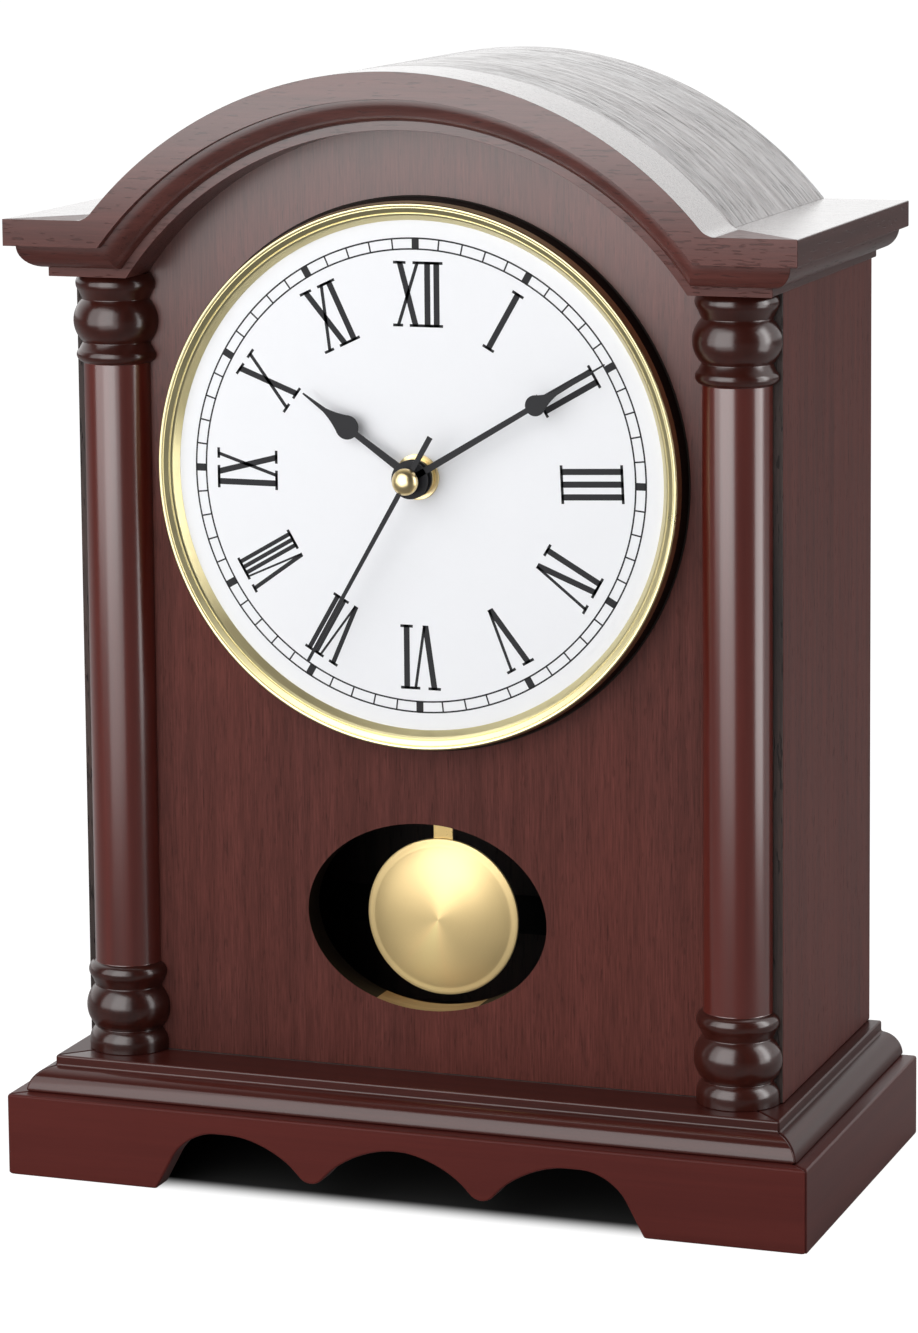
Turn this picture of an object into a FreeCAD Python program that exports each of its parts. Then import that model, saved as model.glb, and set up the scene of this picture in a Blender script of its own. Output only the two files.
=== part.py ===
import FreeCAD, Part
import math
import os
import re
import types

import Sketcher

# Desk pendulum clock, in millimetres. X is to the right, Y to the back and Z up, with the origin on the table
# under the middle of the plinth. The dial faces -Y. Each driving size is named once, in the table below.
SIZES = {
    "overall_depth": 116.0,
    "plinth_overhang": 13.8,
    "plinth_height": 22.8,
    "plinth_wall": 8.0,
    "scallop_top": 16.9,
    "scallop_flat": 12.0,
    "scallop_round": 26.0,
    "cusp_offset": 24.5,
    "cusp_height": 3.6,
    "cusp_round": 4.5,
    "end_flat": 37.0,
    "end_shoulder": 61.0,
    "end_round": 14.0,
    "apron_opening": 70.0,
    "ledge_width": 4.0,
    "base_round": 6.3,
    "base_edge": 3.0,
    "base_strip": 22.0,
    "column_margin": 13.5,
    "column_edge": 12.3,
    "panel_setback": 26.5,
    "side_wall": 12.0,
    "panel_wall": 8.0,
    "window_width": 69.0,
    "window_height": 52.0,
    "window_lift": 17.1,
    "dial_margin": 20.9,
    "crown_overhang": 10.5,
    "crown_setback": 2.4,
    "fascia_height": 7.3,
    "round_ledge": 2.6,
    "crown_round": 6.2,
    "fillet_quirk": 0.4,
    "fillet_height": 2.5,
    "arch_margin": 21.4,
    "arch_drop": 2.5,
    "arch_rise": 71.1,
    "spring_round": 5.0,
    "roof_wall": 4.0,
    "shaft_radius": 9.5,
    "disc_radius": 11.4,
    "ball_radius": 12.1,
    "neck_radius": 9.6,
    "foot_height": 6.2,
    "foot_edge": 3.0,
    "ball_height": 11.8,
    "lower_bead": 6.8,
    "upper_bead": 5.6,
    "head_height": 7.3,
    "back_recess": 13.0,
    "back_wall": 5.0,
    "door_width": 124.0,
    "door_lift": 29.9,
    "door_rise": 29.0,
    "door_gap": 0.8,
    "hinge_length": 26.0,
    "hinge_leaf": 9.0,
    "hinge_plate": 0.8,
    "hinge_pin": 0.7,
    "hinge_barrel": 1.5,
    "hinge_inset": 32.0,
    "leaf_gap": 0.3,
    "knuckle_gap": 0.1,
    "screw_spacing": 16.0,
    "screw_radius": 0.9,
    "screw_head": 1.7,
    "screw_cap": 0.7,
    "screw_length": 4.2,
    "knob_flange": 3.6,
    "knob_stem": 2.2,
    "knob_radius": 6.0,
    "knob_length": 11.0,
    "knob_inset": 12.0,
    "catch_width": 18.0,
    "catch_height": 26.0,
    "catch_depth": 10.0,
    "strike_width": 7.0,
    "strike_plate": 1.0,
    "stack_radius": 71.9,
    "pan_lift": 1.4,
    "pan_wall": 1.2,
    "pan_depth": 8.0,
    "skirt_radius": 65.0,
    "skirt_wall": 0.8,
    "dial_plate": 0.8,
    "ring_inner": 69.0,
    "ring_height": 2.1,
    "bezel_base": 74.9,
    "bezel_lip": 73.9,
    "bezel_rim": 73.3,
    "bezel_ridge": 70.5,
    "bezel_rise": 7.4,
    "bezel_slope": 1.3,
    "clamp_length": 20.0,
    "clamp_width": 12.0,
    "clamp_plate": 1.2,
    "clamp_circle": 68.0,
    "lug_circle": 60.5,
    "lug_width": 7.4,
    "nut_flange": 6.2,
    "nut_radius": 5.2,
    "nut_height": 2.2,
    "nut_washer": 0.6,
    "bush_radius": 4.2,
    "hour_tube": 3.0,
    "minute_tube": 2.0,
    "second_shaft": 0.75,
    "shaft_play": 0.05,
    "hour_lift": 3.3,
    "minute_lift": 5.8,
    "second_lift": 8.7,
    "hand_plate": 0.5,
    "hand_wide": 1.15,
    "hand_narrow": 0.75,
    "tip_half": 0.25,
    "hub_radius": 5.2,
    "hour_reach": 38.2,
    "hour_bulb": 22.9,
    "hour_spade": 3.3,
    "minute_reach": 63.9,
    "minute_bulb": 41.4,
    "minute_spade": 2.8,
    "second_reach": 57.8,
    "second_tail": 14.0,
    "cap_radius": 3.3,
    "cap_height": 2.7,
    "cap_flange": 0.5,
    "movement_width": 56.0,
    "movement_top": 46.5,
    "movement_foot": 40.0,
    "movement_depth": 16.0,
    "movement_gap": 1.2,
    "boss_radius": 9.0,
    "shell_wall": 1.2,
    "divider_height": 29.0,
    "slot_half": 7.0,
    "slot_depth": 3.2,
    "cell_radius": 7.1,
    "cell_play": 1.2,
    "cell_pole": 2.7,
    "pole_length": 1.2,
    "cell_depth": 7.4,
    "contact_width": 11.0,
    "contact_plate": 0.5,
    "post_radius": 1.2,
    "bridge_layer": 5.1,
    "bridge_gap": 0.2,
    "bridge_right": 2.6,
    "bridge_low": 0.5,
    "bridge_high": 14.0,
    "board_left": 12.0,
    "board_low": 22.0,
    "board_high": 5.0,
    "board_plate": 1.0,
    "chip_size": 6.0,
    "chip_height": 1.6,
    "crystal_radius": 1.2,
    "crystal_length": 7.0,
    "hour_layer": 0.5,
    "motion_layer": 2.1,
    "centre_layer": 3.9,
    "magnet_layer": 6.1,
    "stator_layer": 6.7,
    "third_layer": 7.5,
    "second_layer": 9.5,
    "mid_layer": 11.5,
    "motion_module": 0.5,
    "hour_module": 0.48,
    "third_module": 0.36,
    "centre_module": 0.34,
    "second_module": 0.3,
    "rotor_module": 0.28,
    "wheel_face": 0.8,
    "arbor_radius": 0.5,
    "magnet_radius": 3.0,
    "magnet_length": 2.2,
    "stator_gap": 2.3,
    "stator_right": 10.6,
    "stator_low": 18.0,
    "stator_high": 13.0,
    "stator_leg": 3.0,
    "stator_bore_gap": 0.3,
    "stator_bridge": 4.5,
    "coil_width": 7.0,
    "coil_length": 12.0,
    "coil_depth": 6.4,
    "knob_shaft": 0.9,
    "knob_disc": 5.0,
    "knob_grip": 4.0,
    "pivot_drop": 28.5,
    "hanger_pin": 0.6,
    "hanger_width": 7.0,
    "hanger_rise": 3.0,
    "hanger_drop": 17.5,
    "hanger_layer": 11.6,
    "hanger_plate": 1.2,
    "magnet_drop": 5.5,
    "swing_magnet": 2.4,
    "magnet_reach": 3.9,
    "drive_coil": 4.4,
    "drive_depth": 5.4,
    "rod_width": 5.6,
    "rod_plate": 0.6,
    "rod_top": 12.4,
    "rod_reach": 12.4,
    "bob_drop": 2.8,
    "bob_radius": 21.9,
    "bob_rim": 0.8,
    "bob_dome": 4.0,
    "seat_gap": 0.1,
    "cut_overrun": 5.0,
    "cut_length": 600.0,
}

# Sizes worked out from the ones above: the case's widths grow out from the dial's bezel and its heights
# up from the shelf, and what fills the movement fits between its walls
WORKED_OUT = {
    "shelf_top": "plinth_height + base_round + base_edge",
    "window_centre": "shelf_top + window_lift + window_height / 2",
    "dial_centre": "window_centre + window_height / 2 + dial_margin + bezel_base",
    "arch_centre": "dial_centre - arch_drop",
    "crown_top": "arch_centre + arch_rise",
    "arch_radius": "bezel_base + arch_margin + fillet_height + crown_round + fascia_height",
    "column_place": "bezel_base + column_margin",
    "case_half": "column_place + column_edge",
    "crown_half": "case_half + crown_overhang",
    "half_width": "case_half + plinth_overhang",
    "door_bottom": "shelf_top + door_lift",
    "door_top": "dial_centre + door_rise",
    "pendulum_pivot": "dial_centre - pivot_drop",
    "bob_centre": "window_centre - bob_drop",
    "rod_bottom": "bob_centre - rod_reach",
    "movement_inside": "movement_width / 2 - shell_wall",
    "cell_length": "2 * movement_inside - 2 * contact_plate - 2 * cell_play - pole_length",
    "bridge_left": "movement_inside - bridge_gap",
    "stator_left": "movement_inside - stator_gap",
}

# Teeth of the wheels and pinions, and a tooth's height outside and inside the pitch circle as shares of
# the module
TOOTH_COUNTS = {
    "cannon": 12, "motion_wheel": 36, "motion_pinion": 10, "hour_wheel": 40, "setting_gear": 12,
    "second_pinion": 8, "third_wheel": 60, "third_pinion": 8, "centre_wheel": 64,
    "second_wheel": 50, "mid_pinion": 10, "mid_wheel": 48, "rotor_pinion": 8,
}
ADDENDUM_SHARE = 0.7
DEDENDUM_SHARE = 1.0

# Shares of the size beside each in the code: the places of a hinge's screws and knuckles, the stations
# along the door knob, the taper of a column's beads, the spades of the hands, how deep the crystal lies on
# its board, and how near two ends of a sketch lie when they are one point
HINGE_SCREW_SHARE = 0.6
KNUCKLE_SHARE = 0.6
KNOB_SHARES = (0.12, 0.4, 0.5, 0.8)
TAPER_SHARE = 0.65
SPADE_WAIST_SHARE = 1.9
SPADE_SHOULDER_SHARES = (0.72, 0.7)
CRYSTAL_SHARE = 0.8
CLOSE_SHARE = 0.001

# Directions between the arbors, in degrees from +X towards +Z, and the resting hands, in degrees after twelve
MOTION_DEGREES = 250.0
SETTING_DEGREES = 300.0
THIRD_DEGREES = 60.0
MID_DEGREES = 150.0
HOUR_REST_DEGREES = 304.9
MINUTE_REST_DEGREES = 59.0
SECOND_REST_DEGREES = 209.8
CLAMP_DEGREES = (90.0, 210.0, 330.0)
FULL_TURN_DEGREES = 360.0
HALF_TURN_DEGREES = 180.0

# How many straight steps a turned curve and a dome have, and how many flats a screw has
STEP_COUNT = 3
DOME_COUNT = 2
FLAT_COUNT = 6

V = FreeCAD.Vector
X_AXIS = V(1, 0, 0)
Y_AXIS = V(0, 1, 0)
Z_AXIS = V(0, 0, 1)

doc = FreeCAD.newDocument("PendulumClock")
sheet = doc.addObject("Spreadsheet::Sheet", "Sizes")
formulas = {alias: "=" + text for alias, text in WORKED_OUT.items()}
for row, (alias, value) in enumerate({**SIZES, **formulas}.items(), 1):
    sheet.set(f"A{row}", alias)
    sheet.set(f"B{row}", str(value))
    sheet.setAlias(f"B{row}", alias)
doc.recompute()
s = types.SimpleNamespace(**{alias: float(sheet.get(alias)) for alias in {**SIZES, **WORKED_OUT}})
subparts = []

# Places that several sub-parts share
front = -s.overall_depth / 2
back = s.overall_depth / 2
panel_face = front + s.panel_setback
inside_half = s.case_half - s.side_wall
crown_front = front + s.crown_setback
crown_bottom = s.crown_top - s.fascia_height
crown_soffit = crown_bottom - s.crown_round - s.fillet_height
board_depth = s.panel_setback - s.crown_setback
roof_inner = s.arch_radius - s.roof_wall
roof_half = math.sqrt(roof_inner ** 2 - (s.crown_top - s.arch_centre) ** 2)
spring_half = math.sqrt(s.arch_radius ** 2 - (s.crown_top - s.arch_centre) ** 2)
back_face = back - s.back_recess
back_inner = back_face - s.back_wall
door_half = s.door_width / 2
hinge_x = door_half - s.door_gap / 2
hinge_y = back_face + s.hinge_barrel + s.seat_gap
hinge_heights = (s.door_bottom + s.hinge_inset, s.door_top - s.hinge_inset)
dial_back = panel_face - s.pan_lift - s.pan_wall
dial_face = dial_back - s.dial_plate
ring_front = dial_face - s.ring_height
movement_front = panel_face - s.pan_lift + s.movement_gap
inner_front = movement_front + s.shell_wall
inner_back = movement_front + s.movement_depth - s.shell_wall
hour_front = dial_face - s.hour_lift - s.hand_plate
minute_front = dial_face - s.minute_lift - s.hand_plate
second_front = dial_face - s.second_lift - s.hand_plate


def place(distance, direction, start=(0, 0)):
    """The (x, z) point at a distance in a direction, in degrees from +X towards +Z."""
    angle = math.radians(direction)
    return start[0] + distance * math.cos(angle), start[1] + distance * math.sin(angle)


def centre_distance(module, wheel, pinion):
    """Distance between the arbors of a wheel and the pinion it meshes with."""
    return module * (TOOTH_COUNTS[wheel] + TOOTH_COUNTS[pinion]) / 2


dial = (0, s.dial_centre)
motion_arbor = place(centre_distance(s.motion_module, "cannon", "motion_wheel"), MOTION_DEGREES, dial)
setting_arbor = place(centre_distance(s.motion_module, "motion_wheel", "setting_gear"), SETTING_DEGREES,
                      motion_arbor)
third_arbor = place(centre_distance(s.third_module, "second_pinion", "third_wheel"), THIRD_DEGREES, dial)
mid_arbor = place(centre_distance(s.second_module, "second_wheel", "mid_pinion"), MID_DEGREES, dial)
rotor_arbor = place(centre_distance(s.rotor_module, "mid_wheel", "rotor_pinion"), MID_DEGREES, mid_arbor)


# Helpers for the document

def bind(feature, prop, text):
    """Bind a property to the sheet: each name in the text is a cell."""
    feature.setExpression(prop, re.sub(r"[a-z]+(_[a-z]+)+", r"Sizes.\g<0>", text))


def finish(feature, label, x=0, y=0, z=0, turned=None):
    """Name a sub-part, put it in its place and keep it for export."""
    feature.Label = label
    feature.Placement = FreeCAD.Placement(V(x, y, z), turned or FreeCAD.Rotation())
    subparts.append(feature)
    return feature


def box(name, sizes, corner=(0, 0, 0)):
    """A box with its three sizes bound to the sheet and its low corner at a place."""
    feature = doc.addObject("Part::Box", name)
    for prop, text in zip(("Length", "Width", "Height"), sizes):
        bind(feature, prop, text)
    feature.Placement.Base = V(*corner)
    return feature


def cylinder(name, radius, length, base=(0, 0, 0), axis=Y_AXIS):
    """A cylinder bound to the sheet, from a base point along an axis."""
    feature = doc.addObject("Part::Cylinder", name)
    bind(feature, "Radius", radius)
    bind(feature, "Height", length)
    feature.Placement = FreeCAD.Placement(V(*base), FreeCAD.Rotation(Z_AXIS, axis))
    return feature


def cut(base, tools):
    """The base less each tool."""
    for tool in tools:
        feature = doc.addObject("Part::Cut", base.Name + "Cut")
        feature.Base = base
        feature.Tool = tool
        base = feature
    return base


def fuse(base, tools):
    """The base and the tools as one solid."""
    feature = doc.addObject("Part::MultiFuse", base.Name + "Fuse")
    feature.Shapes = [base] + tools
    return feature


def shaped(name, shapes):
    """A feature made of solids worked out in code: one, or several identical loose ones."""
    feature = doc.addObject("Part::Feature", name)
    feature.Shape = shapes[0] if len(shapes) == 1 else Part.makeCompound(shapes)
    return feature


# Helpers for outlines and bodies

def run(*points):
    """Straight lines through the points."""
    return [Part.LineSegment(V(*a, 0), V(*b, 0)) for a, b in zip(points, points[1:])]


def bow(start, middle, end):
    """One circular arc through three points."""
    return [Part.Arc(V(*start, 0), V(*middle, 0), V(*end, 0))]


def steps(start, middle, end):
    """The arc through three points in a few straight steps, which keeps a turned form light."""
    points = bow(start, middle, end)[0].discretize(Number=STEP_COUNT + 1)
    return run(start, *[(point.x, point.y) for point in points[1:-1]], end)


def dome(chord, foot, apex):
    """A dome from its edge (chord, foot) to the axis at the apex, in a few straight steps."""
    sag = apex - foot
    curve = (chord ** 2 + sag ** 2) / (2 * abs(sag))
    spread = math.asin(chord / curve)
    lean = math.copysign(curve, sag)
    angles = [spread * (1 - i / DOME_COUNT) for i in range(1, DOME_COUNT)]
    points = [(curve * math.sin(angle), apex - lean * (1 - math.cos(angle))) for angle in angles]
    return run((chord, foot), *points, (0, apex))


def circle(radius, x=0, y=0):
    """A full circle."""
    return [Part.Circle(V(x, y, 0), Z_AXIS, radius)]


def corners(radius, at):
    """The corners of the few flats that stand for a small round outline about a point."""
    return [place(radius, FULL_TURN_DEGREES * i / FLAT_COUNT, at) for i in range(FLAT_COUNT)]


def flats(radius, x, y):
    """A small hole's closed outline in a few flats."""
    points = corners(radius, (x, y))
    return run(*points, points[0])


def rectangle(low_x, low_y, high_x, high_y):
    """A closed rectangle."""
    return run((low_x, low_y), (high_x, low_y), (high_x, high_y), (low_x, high_y), (low_x, low_y))


def rounded(marks):
    """A closed outline through (x, y, radius) marks, with a tangent arc at each corner that has a radius."""
    starts = []
    middles = []
    ends = []
    for i, (x, y, radius) in enumerate(marks):
        corner = V(x, y, 0)
        to_last = (V(*marks[i - 1][:2], 0) - corner).normalize()
        to_next = (V(*marks[(i + 1) % len(marks)][:2], 0) - corner).normalize()
        half = to_last.getAngle(to_next) / 2
        starts.append(corner + to_last * (radius / math.tan(half)))
        ends.append(corner + to_next * (radius / math.tan(half)))
        middles.append(corner + (to_last + to_next).normalize() * (radius / math.sin(half) - radius))
    pieces = []
    for i, (x, y, radius) in enumerate(marks):
        if radius > 0:
            pieces.append(Part.Arc(starts[i], middles[i], ends[i]))
        pieces.append(Part.LineSegment(ends[i], starts[(i + 1) % len(marks)]))
    return pieces


def sketch_on(body, name, plane, pieces):
    """A sketch of closed outlines on one of the body's origin planes, with meeting ends tied together."""
    sketch = body.newObject("Sketcher::SketchObject", name)
    support = [item for item in body.Origin.OriginFeatures if item.Role == plane + "_Plane"][0]
    sketch.AttachmentSupport = [(support, "")]
    sketch.MapMode = "FlatFace"
    ids = sketch.addGeometry(pieces, False)
    ends = []
    for i in ids:
        if not hasattr(pieces[i], "StartPoint"):
            continue
        for j, known, point in ends:
            for position in (1, 2):
                if sketch.getPoint(i, position).distanceToPoint(point) < s.seat_gap * CLOSE_SHARE:
                    sketch.addConstraint(Sketcher.Constraint("Coincident", j, known, i, position))
        ends += [(i, position, sketch.getPoint(i, position)) for position in (1, 2)]
    return sketch


def new_body(name):
    """An empty body."""
    return doc.addObject("PartDesign::Body", name)


def pad(body, plane, pieces, length, both=False):
    """Pad an outline: towards +Y from the XZ plane, up from the XY plane, or to both sides alike."""
    feature = body.newObject("PartDesign::Pad", body.Name + "Pad")
    feature.Profile = (sketch_on(body, feature.Name + "Sketch", plane, pieces), [""])
    bind(feature, "Length", length)
    feature.Reversed = plane == "XZ"
    if both:
        feature.SideType = "Symmetric"
    return feature


def pocket(body, plane, pieces, length, both=True):
    """Cut an outline out of the body: to both sides of the plane, or else down from the XY plane."""
    feature = body.newObject("PartDesign::Pocket", body.Name + "Pocket")
    feature.Profile = (sketch_on(body, feature.Name + "Sketch", plane, pieces), [""])
    bind(feature, "Length", length)
    if both:
        feature.SideType = "Symmetric"
    return feature


def turned(body, plane, pieces, kind="PartDesign::Revolution", angle=FULL_TURN_DEGREES, turned_back=False):
    """Turn an outline of (radius, distance along the axis) about the upright axis of its sketch."""
    feature = body.newObject(kind, body.Name + "Turned")
    sketch = sketch_on(body, feature.Name + "Sketch", plane, pieces)
    feature.Profile = (sketch, [""])
    feature.ReferenceAxis = (sketch, ["V_Axis"])
    feature.Angle = angle
    feature.Reversed = turned_back
    return feature


def mitre_wedge(side, corner, depth, outside):
    """The triangle beyond, or inside, the mitre line that runs back and inwards from a front corner."""
    over = s.cut_overrun
    start = (corner + over, -over)
    end = (corner - depth - over, depth + over)
    third = (start[0], end[1]) if outside else (end[0], start[1])
    return [(side * x, y, 0) for x, y in (start, end, third)]


# Helpers for small round pieces along Y, made by code

def disc(radius, start, length, at=(0, 0)):
    """A round piece from start along +Y about a point (x, z)."""
    return Part.makeCylinder(radius, length, V(at[0], start, at[1]), Y_AXIS)


def prism(radius, start, length, at):
    """A small piece with a few flats from start along +Y about a point (x, z)."""
    points = [V(x, start, z) for x, z in corners(radius, at)]
    return Part.Face(Part.makePolygon(points + points[:1])).extrude(V(0, length, 0))


def fused(shapes):
    """One solid of several that overlap."""
    return shapes[0].multiFuse(shapes[1:]).removeSplitter().Solids[0]


def toothed(name, module, start, length, at, phase):
    """A wheel or pinion with pointed, straight-sided teeth, one tooth's tip at the phase angle in radians."""
    count = TOOTH_COUNTS[name]
    pitch_radius = module * count / 2
    root = pitch_radius - DEDENDUM_SHARE * module
    tip = pitch_radius + ADDENDUM_SHARE * module
    half_pitch = math.pi / count
    points = []
    for i in range(count):
        middle = phase + 2 * half_pitch * i
        for radius, angle in ((tip, middle), (root, middle + half_pitch)):
            points.append(V(at[0] + radius * math.cos(angle), start, at[1] + radius * math.sin(angle)))
    return Part.Face(Part.makePolygon(points + points[:1])).extrude(V(0, length, 0))


def meshed(name, other, other_phase, direction):
    """The phase that lets a wheel mesh with another whose arbor lies opposite to this direction."""
    towards = math.radians(direction)
    turn_share = TOOTH_COUNTS[other] / TOOTH_COUNTS[name]
    return towards + math.pi - turn_share * (other_phase - towards) - math.pi / TOOTH_COUNTS[name]


# Plinth

def plinth():
    """Front rail with three scalloped arches, mitred to the side rails, and a plain rail at the back."""
    right = [
        (s.scallop_flat, s.scallop_top, s.scallop_round),
        (s.cusp_offset, s.cusp_height, s.cusp_round),
        (s.end_flat, s.scallop_top, s.scallop_round),
        (s.end_shoulder, s.scallop_top, s.end_round),
        (s.apron_opening, 0, 0),
        (s.half_width, 0, 0),
        (s.half_width, s.plinth_height, 0),
    ]
    left = [(-x, z, radius) for x, z, radius in reversed(right)]
    body = new_body("FrontRail")
    pad(body, "XZ", rounded(right + left), "plinth_wall")
    for side in (-1, 1):
        pocket(body, "XY", rounded(mitre_wedge(side, s.half_width, s.plinth_wall, True)), "cut_length")
    finish(body, "plinth_front_rail", y=front)
    for side, word in ((-1, "left"), (1, "right")):
        inner = s.half_width - s.plinth_wall
        outline = [(s.half_width, 0, 0), (s.half_width, s.overall_depth, 0), (inner, s.overall_depth, 0),
                   (inner, s.plinth_wall, 0)]
        body = new_body("SideRail")
        pad(body, "XY", rounded([(side * x, y, radius) for x, y, radius in outline]), "plinth_height")
        finish(body, f"plinth_{word}_rail", y=front)
    rail = box("BackRail", ("2 * half_width - 2 * plinth_wall", "plinth_wall", "plinth_height"))
    finish(rail, "plinth_back_rail", s.plinth_wall - s.half_width, back - s.plinth_wall)


# Base moulding: a flat edge over a quarter round, in three mitred strips round a plain board

def base():
    """The three strips and the board."""
    outer = s.half_width - s.ledge_width
    bend = s.base_round * math.sqrt(0.5)
    top = s.base_round + s.base_edge

    def section(edge, way):
        """The strip's section, with its outer edge at a place and its body on the other side."""
        inner = edge - way * s.base_strip
        shoulder = edge - way * s.base_round
        return (run((inner, 0), (edge, 0))
                + bow((edge, 0), (shoulder + way * bend, bend), (shoulder, s.base_round))
                + run((shoulder, s.base_round), (shoulder, top), (inner, top), (inner, 0)))

    strip_front = front + s.ledge_width
    body = new_body("FrontStrip")
    pad(body, "YZ", section(0, -1), "2 * half_width - 2 * ledge_width", True)
    for side in (-1, 1):
        pocket(body, "XY", rounded(mitre_wedge(side, outer, s.base_strip, True)), "cut_length")
    finish(body, "base_moulding_front", y=strip_front, z=s.plinth_height)
    for side, word in ((-1, "left"), (1, "right")):
        body = new_body("SideStrip")
        pad(body, "XZ", section(side * outer, side), "overall_depth - ledge_width")
        pocket(body, "XY", rounded(mitre_wedge(side, outer, s.base_strip, False)), "cut_length")
        finish(body, f"base_moulding_{word}", y=strip_front, z=s.plinth_height)
    board = box("BaseBoard", ("2 * half_width - 2 * ledge_width - 2 * base_strip",
                              "overall_depth - ledge_width - base_strip", "base_round + base_edge"))
    finish(board, "base_board", s.base_strip - outer, strip_front + s.base_strip, s.plinth_height)


# Case: two side panels, the front panel with its two openings, and the bent roof

def case_outline():
    """Outline shared by the front and the back panel, from the shelf to the underside of the roof."""
    return (run((-roof_half, s.crown_top), (-roof_half, crown_bottom), (-inside_half, crown_bottom),
                (-inside_half, s.shelf_top), (inside_half, s.shelf_top), (inside_half, crown_bottom),
                (roof_half, crown_bottom), (roof_half, s.crown_top))
            + bow((roof_half, s.crown_top), (0, s.arch_centre + roof_inner), (-roof_half, s.crown_top)))


def case():
    """The panels and the roof."""
    for side, word in ((-1, "left"), (1, "right")):
        panel = box("SidePanel", ("side_wall", "overall_depth - panel_setback",
                                  "crown_top - fascia_height - shelf_top"))
        low_x = inside_half if side > 0 else -s.case_half
        finish(panel, f"side_panel_{word}", low_x, panel_face, s.shelf_top)
    body = new_body("FrontPanel")
    pad(body, "XZ", case_outline(), "panel_wall")
    pocket(body, "XZ", circle(s.skirt_radius + s.seat_gap, 0, s.dial_centre), "cut_length")
    oval = Part.Ellipse(V(0, s.window_centre, 0), s.window_width / 2, s.window_height / 2)
    pocket(body, "XZ", [oval], "cut_length")
    finish(body, "front_panel", y=panel_face)
    rise = s.crown_top - s.arch_centre
    body = new_body("Roof")
    band = (run((roof_half, rise), (spring_half, rise))
            + bow((spring_half, rise), (0, s.arch_radius), (-spring_half, rise))
            + run((-spring_half, rise), (-roof_half, rise))
            + bow((-roof_half, rise), (0, roof_inner), (roof_half, rise)))
    pad(body, "XZ", band, "overall_depth - panel_setback")
    finish(body, "arched_roof", y=panel_face, z=s.arch_centre)


# Crown: an arched board with its moulding cut along the arch and the wings, mitred to the side mouldings

def spring_arc(rise):
    """Three points of the small hollow arc between the wing's top and the arch, from the arch's centre."""
    reach = s.arch_radius + s.spring_round
    lift = rise + s.spring_round
    across = math.sqrt(reach ** 2 - lift ** 2)
    towards = V(-across / reach, -lift / reach - 1, 0).normalize() * s.spring_round
    start = (across * s.arch_radius / reach, lift * s.arch_radius / reach)
    return (across, rise), (across + towards.x, lift + towards.y), start


def crown():
    """The arched front board, whose moulding follows the arch and turns along the wings, and the returns."""
    rise = s.crown_top - s.arch_centre
    wing_bottom = crown_bottom - s.arch_centre
    soffit = crown_soffit - s.arch_centre
    band_inner = s.arch_radius - s.fascia_height
    round_inner = band_inner - s.crown_round
    opening = round_inner - s.fillet_height
    opening_half = math.sqrt(opening ** 2 - soffit ** 2)
    round_depth = s.round_ledge + s.crown_round
    fillet_depth = round_depth + s.fillet_quirk
    bend = s.crown_round * (1 - math.sqrt(0.5))
    over = s.cut_overrun
    body = new_body("ArchBoard")
    foot, middle, start = spring_arc(rise)
    left = [(-x, z) for x, z in (start, middle, foot)]
    outline = (run((opening_half, soffit), (s.crown_half, soffit), (s.crown_half, rise), foot)
               + bow(foot, middle, start) + bow(start, (0, s.arch_radius), left[0]) + bow(*left)
               + run(left[2], (-s.crown_half, rise), (-s.crown_half, soffit), (-opening_half, soffit))
               + bow((-opening_half, soffit), (0, opening), (opening_half, soffit)))
    pad(body, "XZ", outline, "panel_setback - crown_setback")
    arch_cut = (run((band_inner, -over), (band_inner, s.round_ledge))
                + steps((band_inner, s.round_ledge),
                        (band_inner - s.crown_round + bend, s.round_ledge + bend),
                        (round_inner, round_depth))
                + run((round_inner, round_depth), (round_inner, fillet_depth), (opening - over, fillet_depth),
                      (opening - over, -over), (band_inner, -over)))
    turned(body, "XY", arch_cut, "PartDesign::Groove")
    round_bottom = wing_bottom - s.crown_round
    wing_cut = (run((-over, wing_bottom), (s.round_ledge, wing_bottom))
                + steps((s.round_ledge, wing_bottom), (s.round_ledge + bend, round_bottom + bend),
                        (round_depth, round_bottom))
                + run((round_depth, round_bottom), (fillet_depth, round_bottom),
                      (fillet_depth, soffit - over), (-over, soffit - over), (-over, wing_bottom)))
    pocket(body, "YZ", wing_cut, "cut_length")
    for side in (-1, 1):
        pocket(body, "XY", rounded(mitre_wedge(side, s.crown_half, board_depth, True)), "cut_length")
    finish(body, "arch_front_board", y=crown_front, z=s.arch_centre)

    length = s.overall_depth - s.crown_setback
    drop = s.crown_round + s.fillet_height
    for side, word in ((-1, "left"), (1, "right")):
        edge = side * (s.crown_half - s.round_ledge)
        neck = side * (s.crown_half - round_depth)
        fillet = side * (s.crown_half - fillet_depth)
        inner = side * roof_half
        tip = side * s.crown_half
        body = new_body("CrownReturn")
        outline = (run((inner, -drop), (inner, s.fascia_height), (tip, s.fascia_height), (tip, 0), (edge, 0))
                   + steps((edge, 0), (edge - side * bend, bend - s.crown_round), (neck, -s.crown_round))
                   + run((neck, -s.crown_round), (fillet, -s.crown_round), (fillet, -drop), (inner, -drop)))
        pad(body, "XZ", outline, "overall_depth - crown_setback")
        wedge = run((side * (s.crown_half + over), -over), (side * (s.crown_half - board_depth), board_depth),
                    (side * (roof_half - over), board_depth), (side * (roof_half - over), -over),
                    (side * (s.crown_half + over), -over))
        pocket(body, "XY", wedge, "cut_length")
        seat = rectangle(side * (roof_half - over), board_depth, side * s.case_half, length + over)
        pocket(body, "XY", seat, "crown_round + fillet_height + cut_overrun", False)
        finish(body, f"crown_moulding_{word}", y=crown_front, z=crown_bottom)


# Columns: half-round split turnings glued to the front of the case

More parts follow.
